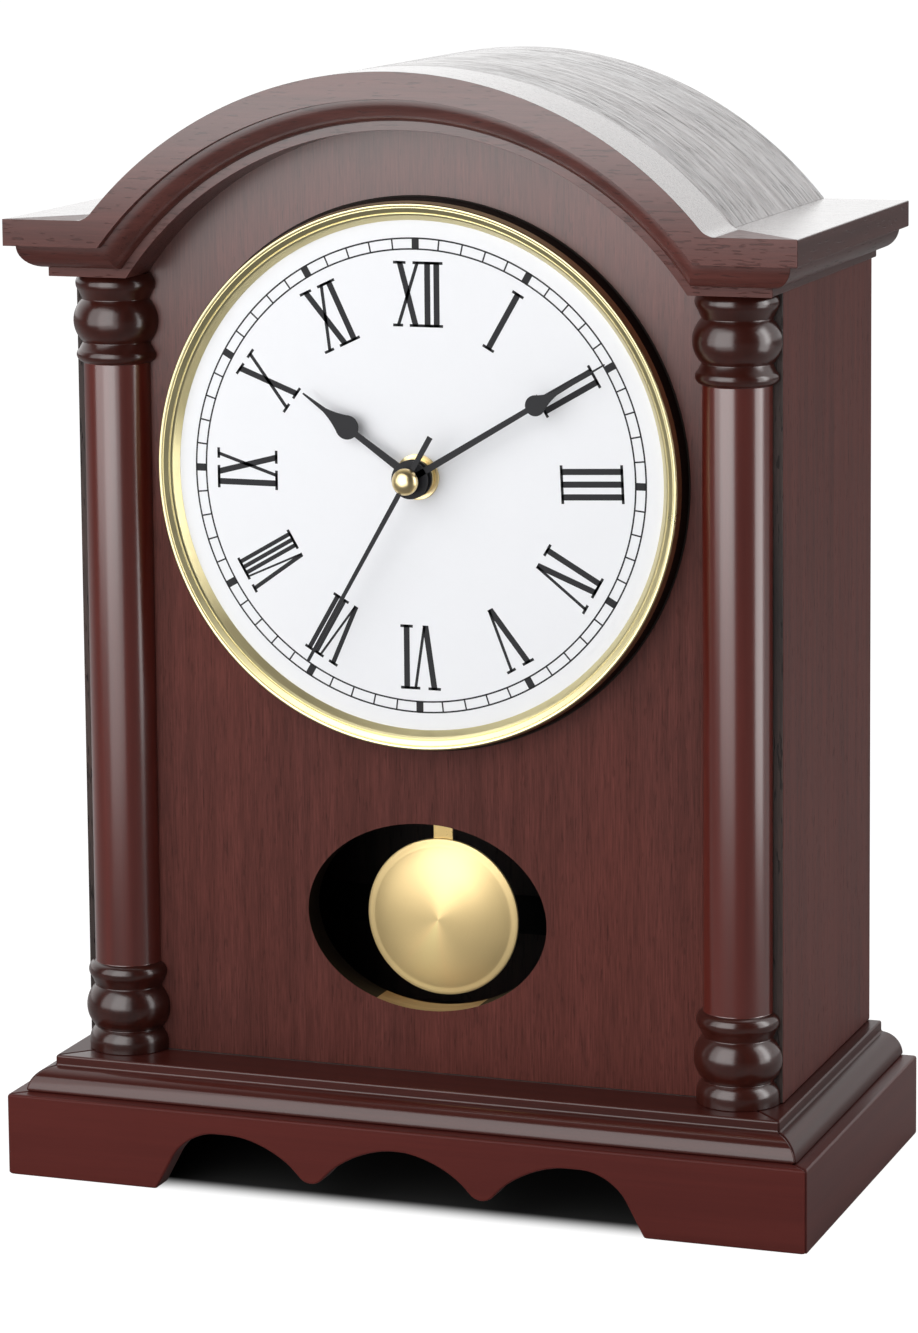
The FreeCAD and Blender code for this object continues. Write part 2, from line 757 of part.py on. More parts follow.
def columns():
    """Two half columns, each turned with a foot, ball and bead, a plain shaft, and a bead, ball and head."""
    neck = s.neck_radius
    wide = s.disc_radius
    foot = s.foot_height
    ball = foot + s.ball_height
    bead = ball + s.lower_bead
    top = crown_soffit - s.shelf_top
    head = top - s.head_height
    high_ball = head - s.ball_height
    high_bead = high_ball - s.upper_bead
    profile = (run((0, 0), (wide, 0), (wide, s.foot_edge), (neck, foot))
               + steps((neck, foot), (s.ball_radius, (foot + ball) / 2), (neck, ball))
               + run((neck, ball), (wide, ball + TAPER_SHARE * s.lower_bead), (s.shaft_radius, bead),
                     (s.shaft_radius, high_bead), (wide, high_ball - TAPER_SHARE * s.upper_bead),
                     (neck, high_ball))
               + steps((neck, high_ball), (s.ball_radius, (high_ball + head) / 2), (neck, head))
               + run((neck, head), (wide, head + TAPER_SHARE * s.head_height), (wide, top), (0, top), (0, 0)))
    for side, word in ((-1, "left"), (1, "right")):
        body = new_body("Column")
        turned(body, "XZ", profile, angle=HALF_TURN_DEGREES, turned_back=True)
        finish(body, f"column_{word}", side * s.column_place, panel_face, s.shelf_top)


# Back: a recessed panel with an inset door on two butt hinges

def screw(x, y, z):
    """A screw driven forwards, with its head's underside at a point."""
    head = prism(s.screw_head, y, s.screw_cap, (x, z))
    shank = prism(s.screw_radius, y - s.screw_length, s.screw_length, (x, z))
    return fused([head, shank])


def screw_hole(x, y, z):
    """The hole for a screw whose head's underside is at a point."""
    depth = s.screw_length + s.seat_gap
    return prism(s.screw_radius + s.shaft_play, y - depth, depth, (x, z))


def hinge_screw_places(side):
    """Where the screws of the case leaves (side 1) or the door leaves (side -1) go."""
    offset = hinge_x + side * (s.hinge_barrel + s.hinge_leaf) * HINGE_SCREW_SHARE
    return [(offset, height + way * s.screw_spacing / 2) for height in hinge_heights for way in (-1, 1)]


def panel_screw_places():
    """Where the screws that hold the back panel go: down both sides."""
    across = inside_half - s.side_wall / 2
    return [(side * across, height) for side in (-1, 1)
            for height in (s.door_bottom, (s.door_bottom + s.door_top) / 2, s.door_top)]


def leaf(side, height):
    """One hinge leaf: side 1 is screwed to the case and has the outer knuckles, side -1 the middle one."""
    third = s.hinge_length / 3
    low = height - s.hinge_length / 2
    reach = s.hinge_barrel + s.hinge_leaf
    clear = s.hinge_barrel + s.leaf_gap
    near = s.hinge_barrel * KNUCKLE_SHARE
    knuckles = ((0, 1), (2, 3)) if side > 0 else ((1, 2),)
    solids = []

    def slab(start, end, bottom, top):
        """A plate from start to end away from the pin, between two heights."""
        corner = hinge_x + start if side > 0 else hinge_x - end
        return Part.makeBox(end - start, s.hinge_plate, top - bottom, V(corner, back_face, bottom))

    solids.append(slab(clear, reach, low, low + s.hinge_length))
    for first, last in knuckles:
        bottom = low + third * first + s.knuckle_gap * (first > 0)
        top = low + third * last - s.knuckle_gap * (last < 3)
        solids.append(Part.makeCylinder(s.hinge_barrel, top - bottom, V(hinge_x, hinge_y, bottom)))
        solids.append(slab(near, clear + s.shaft_play, bottom, top))
    shape = fused(solids)
    bore = s.hinge_pin + s.shaft_play
    shape = shape.cut(Part.makeCylinder(bore, s.hinge_length * 2, V(hinge_x, hinge_y, low - third)))
    for x, z in hinge_screw_places(side):
        shape = shape.cut(screw_hole(x, back_face + s.hinge_plate, z))
    return shape.Solids[0]


def back_side():
    """Panel, door, hinges, knob, magnet catch and screws."""
    body = new_body("BackPanel")
    pad(body, "XZ", case_outline(), "back_wall")
    pocket(body, "XZ", rectangle(-door_half, s.door_bottom, door_half, s.door_top), "cut_length")
    holes = [(x, z) for x, z in hinge_screw_places(1) + panel_screw_places()]
    for x, z in holes:
        pocket(body, "XZ", flats(s.screw_radius + s.shaft_play, x, z), "cut_length")
    finish(body, "back_panel", y=back_inner)

    door_gap = s.door_gap
    body = new_body("Door")
    outline = rectangle(door_gap - door_half, s.door_bottom + door_gap,
                        door_half - door_gap, s.door_top - door_gap)
    pad(body, "XZ", outline, "back_wall")
    for x, z in hinge_screw_places(-1):
        pocket(body, "XZ", flats(s.screw_radius + s.shaft_play, x, z), "cut_length")
    finish(body, "back_door", y=back_inner)

    finish(shaped("CaseLeaves", [leaf(1, height) for height in hinge_heights]), "door_hinge_leaves_case")
    finish(shaped("DoorLeaves", [leaf(-1, height) for height in hinge_heights]), "door_hinge_leaves_door")
    pins = [Part.makeCylinder(s.hinge_pin, s.hinge_length, V(hinge_x, hinge_y, height - s.hinge_length / 2))
            for height in hinge_heights]
    finish(shaped("HingePins", pins), "door_hinge_pins")
    leaf_top = back_face + s.hinge_plate
    fixed = [screw(x, leaf_top, z) for x, z in hinge_screw_places(1)]
    fixed += [screw(x, back_face, z) for x, z in panel_screw_places()]
    finish(shaped("CaseScrews", fixed), "case_screws")
    finish(shaped("DoorScrews", [screw(x, leaf_top, z) for x, z in hinge_screw_places(-1)]), "door_screws")

    flange, waist, shoulder, rim = [s.knob_length * share for share in KNOB_SHARES]
    profile = run((0, 0), (s.knob_flange, 0), (s.knob_flange, flange), (s.knob_stem, waist),
                  (s.knob_stem, shoulder), (s.knob_radius, shoulder), (s.knob_radius, rim))
    profile += dome(s.knob_radius, rim, s.knob_length) + run((0, s.knob_length), (0, 0))
    body = new_body("Knob")
    turned(body, "XY", profile)
    finish(body, "door_knob", s.knob_inset - door_half, back_face, (s.door_bottom + s.door_top) / 2)

    middle = (s.door_bottom + s.door_top) / 2 - s.catch_height / 2
    strike_y = back_inner - s.strike_plate
    strike_x = s.door_gap * 2 - door_half
    strike = box("Strike", ("strike_width", "strike_plate", "catch_height"))
    finish(strike, "strike_plate", strike_x, strike_y, middle)
    catch_end = strike_x + s.strike_width
    magnet = box("Catch", ("catch_width", "catch_depth", "catch_height"),
                 (catch_end - s.catch_width, strike_y - s.catch_depth - s.seat_gap, middle))
    flange = box("CatchFlange", ("catch_width - strike_width - 2 * door_gap - strike_plate",
                                 "strike_plate + 2 * seat_gap", "catch_height"),
                 (catch_end - s.catch_width, strike_y - s.seat_gap * 2, middle))
    finish(fuse(magnet, [flange]), "magnet_catch", 0, 0, 0)


# Dial: a turned bezel over the sloping ring, the dial and the pan, clamped from behind

def dial_stack():
    """Everything that stands still in the round opening."""
    stack = s.stack_radius
    bore = s.bush_radius + s.shaft_play
    body = new_body("Bezel")
    opening = ring_front - panel_face
    inner = stack + s.seat_gap
    rise = -s.bezel_rise
    profile = run((inner, 0), (s.bezel_base, 0), (s.bezel_lip, rise), (s.bezel_rim, rise),
                  (s.bezel_ridge, rise + s.bezel_slope), (s.bezel_ridge, opening - s.seat_gap / 2),
                  (inner, opening - s.seat_gap / 2), (inner, 0))
    turned(body, "XY", profile)
    finish(body, "bezel", 0, panel_face, s.dial_centre)

    body = new_body("Rehaut")
    profile = run((s.ring_inner, s.ring_height), (s.bezel_ridge, 0), (stack, 0), (stack, s.ring_height),
                  (s.ring_inner, s.ring_height))
    turned(body, "XY", profile)
    finish(body, "rehaut_ring", 0, ring_front, s.dial_centre)

    plate = cylinder("Dial", "stack_radius", "dial_plate")
    hole = cylinder("DialHole", "bush_radius + shaft_play", "dial_plate")
    dial_disc = cut(plate, [hole])
    finish(dial_disc, "dial_plate", 0, dial_face, s.dial_centre)

    floor = s.pan_wall
    rim = s.pan_wall + s.pan_lift
    end = rim + s.panel_wall
    skirt = s.skirt_radius - s.skirt_wall
    body = new_body("Pan")
    profile = run((bore, 0), (stack, 0), (stack, rim), (s.skirt_radius, rim), (s.skirt_radius, end),
                  (skirt, end), (skirt, floor), (bore, floor), (bore, 0))
    turned(body, "XY", profile)
    finish_pan(body, floor, end)

    nut = [disc(s.nut_flange, dial_face - s.nut_washer, s.nut_washer, dial),
           disc(s.nut_radius, dial_face - s.nut_height, s.nut_height, dial)]
    nut = fused(nut).cut(disc(bore, dial_face - s.nut_height, s.nut_height, dial))
    finish(shaped("Nut", [nut]), "dial_nut")


def clamp_places(radius):
    """The three (x, z) places round the dial at a radius."""
    return [place(radius, direction, dial) for direction in CLAMP_DEGREES]


def finish_pan(body, floor, end):
    """Add the three screw lugs to the pan, then the clamps that bear on the panel and their screws."""
    doc.recompute()
    pan = body.Shape.copy()
    pan.translate(V(0, dial_back, s.dial_centre))
    lugs = []
    for (x, z), direction in zip(clamp_places(s.lug_circle), CLAMP_DEGREES):
        lug = Part.makeBox(s.lug_width, end - floor, s.lug_width)
        lug.translate(V(-s.lug_width / 2, 0, -s.lug_width / 2))
        lug.rotate(V(), Y_AXIS, -direction)
        lug.translate(V(x, dial_back + floor, z))
        lugs.append(lug)
    trim = disc(s.skirt_radius, dial_back, end, dial)
    pan = fused([pan] + [lug.common(trim) for lug in lugs])
    doc.removeObject(body.Name)
    clamp_front = dial_back + end
    for x, z in clamp_places(s.lug_circle):
        pan = pan.cut(screw_hole(x, clamp_front + s.clamp_plate, z))
    finish(shaped("DialPan", [pan]), "dial_pan")
    clamps = []
    screws = []
    for (x, z), (hole_x, hole_z), direction in zip(clamp_places(s.clamp_circle), clamp_places(s.lug_circle),
                                                   CLAMP_DEGREES):
        plate = Part.makeBox(s.clamp_length, s.clamp_plate, s.clamp_width)
        plate.translate(V(-s.clamp_length / 2, 0, -s.clamp_width / 2))
        plate.rotate(V(), Y_AXIS, -direction)
        plate.translate(V(x, clamp_front, z))
        clamps.append(plate.cut(screw_hole(hole_x, clamp_front + s.clamp_plate, hole_z)))
        screws.append(screw(hole_x, clamp_front + s.clamp_plate, hole_z))
    finish(shaped("Clamps", clamps), "insert_clamps")
    finish(shaped("ClampScrews", screws), "insert_clamp_screws")


# Hands

def hand(label, front_y, reach, bulb, spade, rest, tube):
    """A flat hand: a hub disc, a tapered bar and a spade that draws out to the tip."""
    wide = s.hand_wide
    narrow = s.hand_narrow
    join = bulb - math.sqrt(spade ** 2 - narrow ** 2)
    waist = bulb + spade * SPADE_WAIST_SHARE
    side, shoulder = [spade * share for share in SPADE_SHOULDER_SHARES]
    right = [(wide, 0), (narrow, join)]
    body = new_body("Hand")
    outline = (run((-wide, 0), *right)
               + bow((narrow, join), (spade, bulb), (side, bulb + shoulder))
               + run((side, bulb + shoulder), (narrow, waist), (s.tip_half, reach), (-s.tip_half, reach),
                     (-narrow, waist), (-side, bulb + shoulder))
               + bow((-side, bulb + shoulder), (-spade, bulb), (-narrow, join))
               + run((-narrow, join), (-wide, 0)))
    pad(body, "XZ", outline, "hand_plate")
    pad(body, "XZ", circle(s.hub_radius), "hand_plate")
    pocket(body, "XZ", circle(tube + s.shaft_play), "cut_length")
    finish(body, label, 0, front_y, s.dial_centre, FreeCAD.Rotation(Y_AXIS, rest))


def hands():
    """Hour, minute and second hand and the brass cap in front."""
    hand("hour_hand", hour_front, s.hour_reach, s.hour_bulb, s.hour_spade, HOUR_REST_DEGREES, s.hour_tube)
    hand("minute_hand", minute_front, s.minute_reach, s.minute_bulb, s.minute_spade, MINUTE_REST_DEGREES,
         s.minute_tube)
    body = new_body("SecondHand")
    needle = run((-s.tip_half, s.second_reach), (-s.hand_narrow, -s.second_tail),
                 (s.hand_narrow, -s.second_tail), (s.tip_half, s.second_reach), (-s.tip_half, s.second_reach))
    pad(body, "XZ", needle, "hand_plate")
    pad(body, "XZ", circle(s.cap_radius), "hand_plate")
    pocket(body, "XZ", circle(s.second_shaft + s.shaft_play), "cut_length")
    finish(body, "second_hand", 0, second_front, s.dial_centre, FreeCAD.Rotation(Y_AXIS, SECOND_REST_DEGREES))
    body = new_body("Cap")
    brow = s.cap_radius - s.cap_flange
    profile = (run((0, 0), (s.cap_radius, 0), (s.cap_radius, -s.cap_flange), (brow, -s.cap_flange))
               + dome(brow, -s.cap_flange, -s.cap_height) + run((0, -s.cap_height), (0, 0)))
    turned(body, "XY", profile)
    finish(body, "second_hand_cap", 0, second_front, s.dial_centre)


# Movement: a shallow plastic housing with the battery above and the train below

def housing():
    """Front shell with its bush and posts, the back cover, the bridge and the battery with its contacts."""
    half = s.movement_width / 2
    bottom = s.dial_centre - s.movement_foot
    inside = s.movement_inside
    shell = box("Shell", ("movement_width", "movement_depth - shell_wall", "movement_top + movement_foot"),
                (-half, movement_front, bottom))
    train = box("TrainSpace", ("movement_width - 2 * shell_wall", "movement_depth",
                               "movement_foot + divider_height - shell_wall"),
                (-inside, inner_front, bottom + s.shell_wall))
    cell = box("CellSpace", ("movement_width - 2 * shell_wall", "movement_depth",
                             "movement_top - divider_height - 2 * shell_wall"),
               (-inside, inner_front, s.dial_centre + s.divider_height + s.shell_wall))
    slot = box("Slot", ("slot_half * 2", "movement_depth", "shell_wall + 2 * cut_overrun"),
               (-s.slot_half, inner_back - s.slot_depth, bottom - s.cut_overrun))
    hollow = cut(shell, [train, cell, slot])
    bush = cylinder("Bush", "bush_radius", "movement_gap + pan_wall + dial_plate + nut_height + shell_wall",
                    (0, dial_face - s.nut_height, s.dial_centre))
    boss = cylinder("Boss", "boss_radius", "movement_gap + shell_wall",
                    (0, movement_front - s.movement_gap, s.dial_centre))
    posts = [cylinder("Post", "post_radius", "bridge_layer + shell_wall",
                      (x, movement_front, s.dial_centre + z))
             for x, z in post_places()]
    whole = fuse(hollow, [bush, boss] + posts)
    bore = cylinder("BushBore", "hour_tube + shaft_play", "cut_length", (0, -s.cut_length / 2, s.dial_centre))
    finish(cut(whole, [bore]), "movement_front_shell")

    cover = box("Cover", ("movement_width", "shell_wall", "movement_foot + divider_height + shell_wall"),
                (-half, inner_back, bottom))
    hole = cylinder("KnobHole", "knob_shaft + shaft_play", "cut_length",
                    (setting_arbor[0], -s.cut_length / 2, setting_arbor[1]))
    finish(cut(cover, [hole]), "movement_back_cover")

    bridge_y = inner_front + s.bridge_layer
    plate = box("Bridge", ("bridge_left - bridge_right", "wheel_face", "bridge_high - bridge_low"),
                (-s.bridge_left, bridge_y, s.dial_centre + s.bridge_low))
    holes = [cylinder("BridgeHole", "arbor_radius + shaft_play", "cut_length", (x, -s.cut_length / 2, z))
             for x, z in (mid_arbor, rotor_arbor)]
    finish(cut(plate, holes), "train_bridge")

    cell_z = s.dial_centre + (s.divider_height + s.movement_top) / 2
    cell_y = inner_front + s.cell_depth
    start = -(s.cell_length + s.pole_length) / 2
    can = cylinder("Cell", "cell_radius", "cell_length", (start, cell_y, cell_z), X_AXIS)
    pole = cylinder("CellPole", "cell_pole", "cell_length + pole_length", (start, cell_y, cell_z), X_AXIS)
    finish(fuse(can, [pole]), "battery")
    contacts = []
    for side in (-1, 1):
        corner = V(side * inside - (s.contact_plate if side > 0 else 0), cell_y - s.contact_width / 2,
                   cell_z - s.contact_width / 2)
        contacts.append(Part.makeBox(s.contact_plate, s.contact_width, s.contact_width, corner))
    finish(shaped("Contacts", contacts), "battery_contacts")


def post_places():
    """The (x, z) places, from the hand shaft, of the posts under the bridge and the circuit board."""
    left = s.post_radius * 2 - s.bridge_left
    right = s.bridge_left - s.post_radius * 2
    return ((left, s.bridge_low + s.post_radius * 2), (left, s.bridge_high - s.post_radius * 2),
            (right, -s.board_high - s.post_radius * 2), (right, -s.board_low + s.post_radius * 2))


def electrics():
    """Circuit board with chip and crystal, stator plate and its coil, and the pendulum's coil."""
    board_y = inner_front + s.bridge_layer
    low = s.dial_centre - s.board_low
    board = box("Board", ("bridge_left - board_left", "board_plate", "board_low - board_high"),
                (s.board_left, board_y, low))
    chip = box("Chip", ("chip_size", "chip_height + board_plate", "chip_size"),
               (s.board_left + s.chip_height, board_y, low + s.chip_height))
    crystal_y = board_y + s.board_plate + s.crystal_radius * CRYSTAL_SHARE
    crystal_z = s.dial_centre - s.board_high - s.crystal_radius * 2
    crystal = cylinder("Crystal", "crystal_radius", "crystal_length",
                       (s.board_left + s.chip_height, crystal_y, crystal_z), X_AXIS)
    finish(fuse(board, [chip, crystal]), "circuit_board")

    leg = s.stator_leg
    low = s.dial_centre - s.stator_low
    high = s.dial_centre + s.stator_high
    plate_y = inner_front + s.stator_layer
    body = new_body("Stator")
    outer = rectangle(-s.stator_left, low, -s.stator_right, high)
    opening = rectangle(leg - s.stator_left, low + leg,
                        -s.stator_right - leg, rotor_arbor[1] - s.stator_bridge)
    pad(body, "XZ", outer, "wheel_face")
    pocket(body, "XZ", opening, "cut_length")
    pocket(body, "XZ", circle(s.magnet_radius + s.stator_bore_gap, *rotor_arbor), "cut_length")
    finish(body, "stator", y=plate_y)

    middle_x = leg / 2 - s.stator_left
    middle_z = low + leg + s.coil_length / 2 + s.seat_gap
    bobbin = box("Bobbin", ("coil_width", "coil_depth", "coil_length"),
                 (middle_x - s.coil_width / 2, plate_y + (s.wheel_face - s.coil_depth) / 2,
                  middle_z - s.coil_length / 2))
    core = box("BobbinCore", ("stator_leg + 2 * seat_gap", "wheel_face + 2 * seat_gap", "cut_length"),
               (middle_x - leg / 2 - s.seat_gap, plate_y - s.seat_gap, middle_z - s.cut_length / 2))
    finish(cut(bobbin, [core]), "drive_coil")

    coil = cylinder("PendulumCoil", "drive_coil", "drive_depth")
    finish(coil, "pendulum_coil", 0, inner_front, s.pendulum_pivot - s.magnet_drop,
           FreeCAD.Rotation(Z_AXIS, Y_AXIS))


def arbor(at, start=None, end=None):
    """A thin arbor between two depths, or through the whole housing."""
    low = inner_front + s.seat_gap if start is None else start
    high = inner_back - s.seat_gap if end is None else end
    return disc(s.arbor_radius, low, high - low, at)


def train():
    """Motion work for the hands and the going train from the rotor, meshing at rest."""
    face = s.wheel_face
    proud = s.seat_gap
    pinion = face + 2 * proud
    motion_y = inner_front + s.motion_layer
    hour_y = inner_front + s.hour_layer
    centre_y = inner_front + s.centre_layer
    third_y = inner_front + s.third_layer
    second_y = inner_front + s.second_layer
    mid_y = inner_front + s.mid_layer
    tube_bore = s.second_shaft + s.shaft_play

    tube_end = centre_y - proud
    cannon = fused([disc(s.minute_tube, minute_front, tube_end - minute_front, dial),
                    toothed("cannon", s.motion_module, motion_y - proud, pinion, dial, 0)])
    cannon = cannon.cut(disc(tube_bore, minute_front, tube_end - minute_front, dial))
    finish(shaped("MinuteTube", [cannon]), "minute_tube")

    motion_phase = meshed("motion_wheel", "cannon", 0, MOTION_DEGREES)
    motion = fused([toothed("motion_wheel", s.motion_module, motion_y, face, motion_arbor, motion_phase),
                    toothed("motion_pinion", s.hour_module, hour_y - proud, motion_y + face - hour_y,
                            motion_arbor, 0),
                    arbor(motion_arbor)])
    finish(shaped("MotionWheel", [motion]), "motion_wheel")

    hour_phase = meshed("hour_wheel", "motion_pinion", 0, MOTION_DEGREES + HALF_TURN_DEGREES)
    hour_end = hour_y + face
    hour = fused([toothed("hour_wheel", s.hour_module, hour_y, face, dial, hour_phase),
                  disc(s.hour_tube, hour_front, hour_end - hour_front, dial)])
    hour = hour.cut(disc(s.minute_tube + s.shaft_play, hour_front, hour_end - hour_front, dial))
    finish(shaped("HourWheel", [hour]), "hour_wheel")

    setting_phase = meshed("setting_gear", "motion_wheel", motion_phase, SETTING_DEGREES)
    knob_y = inner_back + s.shell_wall + s.seat_gap
    shaft_y = inner_front + s.seat_gap
    setting = fused([toothed("setting_gear", s.motion_module, motion_y - proud, pinion, setting_arbor,
                             setting_phase),
                     disc(s.knob_shaft, shaft_y, knob_y - shaft_y + s.knob_grip / 2, setting_arbor),
                     disc(s.knob_disc, knob_y, s.knob_grip, setting_arbor)])
    finish(shaped("SettingKnob", [setting]), "setting_knob")

    third_phase = meshed("third_wheel", "second_pinion", 0, THIRD_DEGREES)
    third = fused([toothed("third_wheel", s.third_module, third_y, face, third_arbor, third_phase),
                   toothed("third_pinion", s.centre_module, centre_y - proud, pinion, third_arbor, 0),
                   arbor(third_arbor)])
    finish(shaped("ThirdWheel", [third]), "third_wheel")

    centre_phase = meshed("centre_wheel", "third_pinion", 0, THIRD_DEGREES + HALF_TURN_DEGREES)
    centre = fused([toothed("centre_wheel", s.centre_module, centre_y, face, dial, centre_phase),
                    disc(s.minute_tube, centre_y, face + pinion, dial)])
    centre = centre.cut(disc(tube_bore, centre_y, face + pinion, dial))
    finish(shaped("CentreWheel", [centre]), "centre_wheel")

    seconds = fused([toothed("second_pinion", s.third_module, third_y - proud, pinion, dial, 0),
                     toothed("second_wheel", s.second_module, second_y, face, dial, 0),
                     disc(s.second_shaft, second_front, inner_back - s.seat_gap - second_front, dial)])
    finish(shaped("SecondsWheel", [seconds]), "seconds_wheel")

    mid_phase = meshed("mid_pinion", "second_wheel", 0, MID_DEGREES)
    bridge_y = inner_front + s.bridge_layer
    mid = fused([toothed("mid_pinion", s.second_module, second_y - proud, pinion, mid_arbor, mid_phase),
                 toothed("mid_wheel", s.rotor_module, mid_y, face, mid_arbor, 0),
                 arbor(mid_arbor, bridge_y)])
    finish(shaped("IntermediateWheel", [mid]), "intermediate_wheel")

    rotor_phase = meshed("rotor_pinion", "mid_wheel", 0, MID_DEGREES)
    rotor = fused([toothed("rotor_pinion", s.rotor_module, mid_y - proud, pinion, rotor_arbor, rotor_phase),
                   disc(s.magnet_radius, inner_front + s.magnet_layer, s.magnet_length, rotor_arbor),
                   arbor(rotor_arbor)])
    finish(shaped("Rotor", [rotor]), "rotor")


# Pendulum

def pendulum():
    """Hanger on its pin with the driving magnet, the flat rod and the domed bob."""
    plate_y = inner_front + s.hanger_layer
    half = s.hanger_width / 2
    magnet_z = s.pendulum_pivot - s.magnet_drop
    plate = box("Hanger", ("hanger_width", "hanger_plate", "hanger_rise + hanger_drop"),
                (-half, plate_y, s.pendulum_pivot - s.hanger_drop))
    pin = cylinder("HangerPin", "hanger_pin", "movement_depth - 2 * shell_wall - 2 * seat_gap",
                   (0, inner_front + s.seat_gap, s.pendulum_pivot))
    magnet = cylinder("HangerMagnet", "swing_magnet", "magnet_reach + hanger_plate / 2",
                      (0, plate_y - s.magnet_reach, magnet_z))
    finish(fuse(plate, [pin, magnet]), "pendulum_hanger")

    rod_y = plate_y + s.hanger_plate
    rod = box("Rod", ("rod_width", "rod_plate", "pendulum_pivot - rod_top - rod_bottom"))
    finish(rod, "pendulum_rod", -s.rod_width / 2, rod_y, s.rod_bottom)

    body = new_body("Bob")
    apex = -s.bob_rim - s.bob_dome
    profile = (run((0, 0), (s.bob_radius, 0), (s.bob_radius, -s.bob_rim))
               + dome(s.bob_radius, -s.bob_rim, apex) + run((0, apex), (0, 0)))
    turned(body, "XY", profile)
    finish(body, "pendulum_bob", 0, rod_y, s.bob_centre)


plinth()
base()
case()
crown()
columns()
back_side()
dial_stack()
hands()
housing()
electrics()
train()
pendulum()

doc.recompute()
for item in doc.Objects:
    if "Invalid" in item.State or "Error" in item.State:
        raise SystemExit(f"{item.Label} failed: {item.State}")
for item in subparts:
    if item.Shape.isNull() or not item.Shape.isValid():
        raise SystemExit(f"{item.Label} has no valid shape")
os.makedirs("parts", exist_ok=True)
for item in subparts:
    item.Shape.exportStep(f"parts/{item.Label}.step")
    low = item.Shape.BoundBox
    print(f"{item.Label}: {len(item.Shape.Solids)} solid(s), {item.Shape.Volume:.0f} mm3,"
          f" x {low.XMin:.1f}..{low.XMax:.1f} y {low.YMin:.1f}..{low.YMax:.1f}"
          f" z {low.ZMin:.1f}..{low.ZMax:.1f}")
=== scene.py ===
# %% [markdown]
# # A desk pendulum clock
# The CAD model holds every piece of the clock at its true size, and this lesson dresses it for a picture.
# Each new piece rides on one of the model's bodies, so that the hands, the pendulum and the back door still
# move. Lengths are in millimetres, as on a drawing, and each mesh is brought to metres when it is finished.

import math
from functools import partial

import bmesh
import bpy
from mathutils import Matrix, Vector


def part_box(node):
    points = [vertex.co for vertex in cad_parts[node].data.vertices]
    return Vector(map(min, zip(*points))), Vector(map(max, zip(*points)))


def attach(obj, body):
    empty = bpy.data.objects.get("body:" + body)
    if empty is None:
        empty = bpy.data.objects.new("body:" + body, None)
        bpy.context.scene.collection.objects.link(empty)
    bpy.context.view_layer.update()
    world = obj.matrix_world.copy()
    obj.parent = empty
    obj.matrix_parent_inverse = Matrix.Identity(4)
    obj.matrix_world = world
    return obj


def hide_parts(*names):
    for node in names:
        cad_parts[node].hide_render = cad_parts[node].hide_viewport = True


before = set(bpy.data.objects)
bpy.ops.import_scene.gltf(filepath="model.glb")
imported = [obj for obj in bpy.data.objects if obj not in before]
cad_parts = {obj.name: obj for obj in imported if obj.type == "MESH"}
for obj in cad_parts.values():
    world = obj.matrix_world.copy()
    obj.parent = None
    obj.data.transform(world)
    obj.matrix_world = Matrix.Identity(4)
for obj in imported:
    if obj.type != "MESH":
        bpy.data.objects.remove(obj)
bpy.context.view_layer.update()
scene = bpy.context.scene
MM = 0.001
SAME_SPOT = 1e-4
SIDES = ((-1, "left"), (1, "right"))

# %% [markdown]
# ## Drawing an outline
# Every moulding, turning and blade starts as a line drawing in the XZ plane. A pen keeps the last vertex it
# drew: a straight run adds a vertex and an edge, and an arc spins the last vertex about the arc's centre,
# which gives true circles.


# %% The pen
def centre_of(a, b, c):
    """The centre of the circle through three points of a plane."""
    a, b, c = (complex(*point) for point in (a, b, c))
    ratio = (c - a) / (b - a)
    centre = a + (b - a) * (ratio - abs(ratio) ** 2) / (ratio - ratio.conjugate())
    return centre.real, centre.imag


def verts_in(items):
    """The vertices among the parts that an operator returns."""
    return [item for item in items if isinstance(item, bmesh.types.BMVert)]


class Pen:
    """Draws one outline, in millimetres, in the XZ plane."""

    def __init__(self, x, z):
        self.mesh = bmesh.new()
        self.first = self.mesh.verts.new((x, 0, z))
        self.tip = self.first

    def line(self, *points):
        """Straight runs through the points."""
        for x, z in points:
            vert = self.mesh.verts.new((x, 0, z))
            self.mesh.edges.new((self.tip, vert))
            self.tip = vert
        return self

    def arc(self, through, end, steps=12):
        """An arc from the last point, through one point, to the end."""
        start = (self.tip.co.x, self.tip.co.z)
        cx, cz = centre_of(start, through, end)
        turns = [math.atan2(z - cz, x - cx) for x, z in (start, through, end)]
        sweep = (turns[2] - turns[0]) % math.tau
        if (turns[1] - turns[0]) % math.tau > sweep:
            sweep -= math.tau
        run = bmesh.ops.spin(self.mesh, geom=[self.tip], cent=(cx, 0, cz), axis=(0, -1, 0), dvec=(0, 0, 0),
                             angle=sweep, steps=steps, use_duplicate=False)
        self.tip = verts_in(run["geom_last"])[0]
        return self

    def close(self):
        """Join the last point to the first."""
        if (self.tip.co - self.first.co).length < SAME_SPOT:
            bmesh.ops.pointmerge(self.mesh, verts=[self.tip, self.first], merge_co=self.first.co)
        else:
            self.mesh.edges.new((self.tip, self.first))
        return self.mesh


def ring_outline(inner, outer, front, back):
    """The outline of a flat ring: its two radii and its two depths."""
    return Pen(inner, front).line((outer, front), (outer, back), (inner, back)).close()


print("pen ready")

# %% [markdown]
# ## From outline to solid
# A workshop has three moves for long and round work: run a length of moulding, saw a mitre, and turn on the
# lathe. In bmesh these are extrude, bisect_plane and spin. After each move the normals are recalculated,
# because a spun or mirrored shell can come out inside out.


# %% Run, saw and turn
def tidy(mesh):
    """Merge what lies on the same spot and point all faces outwards."""
    bmesh.ops.remove_doubles(mesh, verts=mesh.verts, dist=SAME_SPOT)
    bmesh.ops.recalc_face_normals(mesh, faces=mesh.faces)
    return mesh


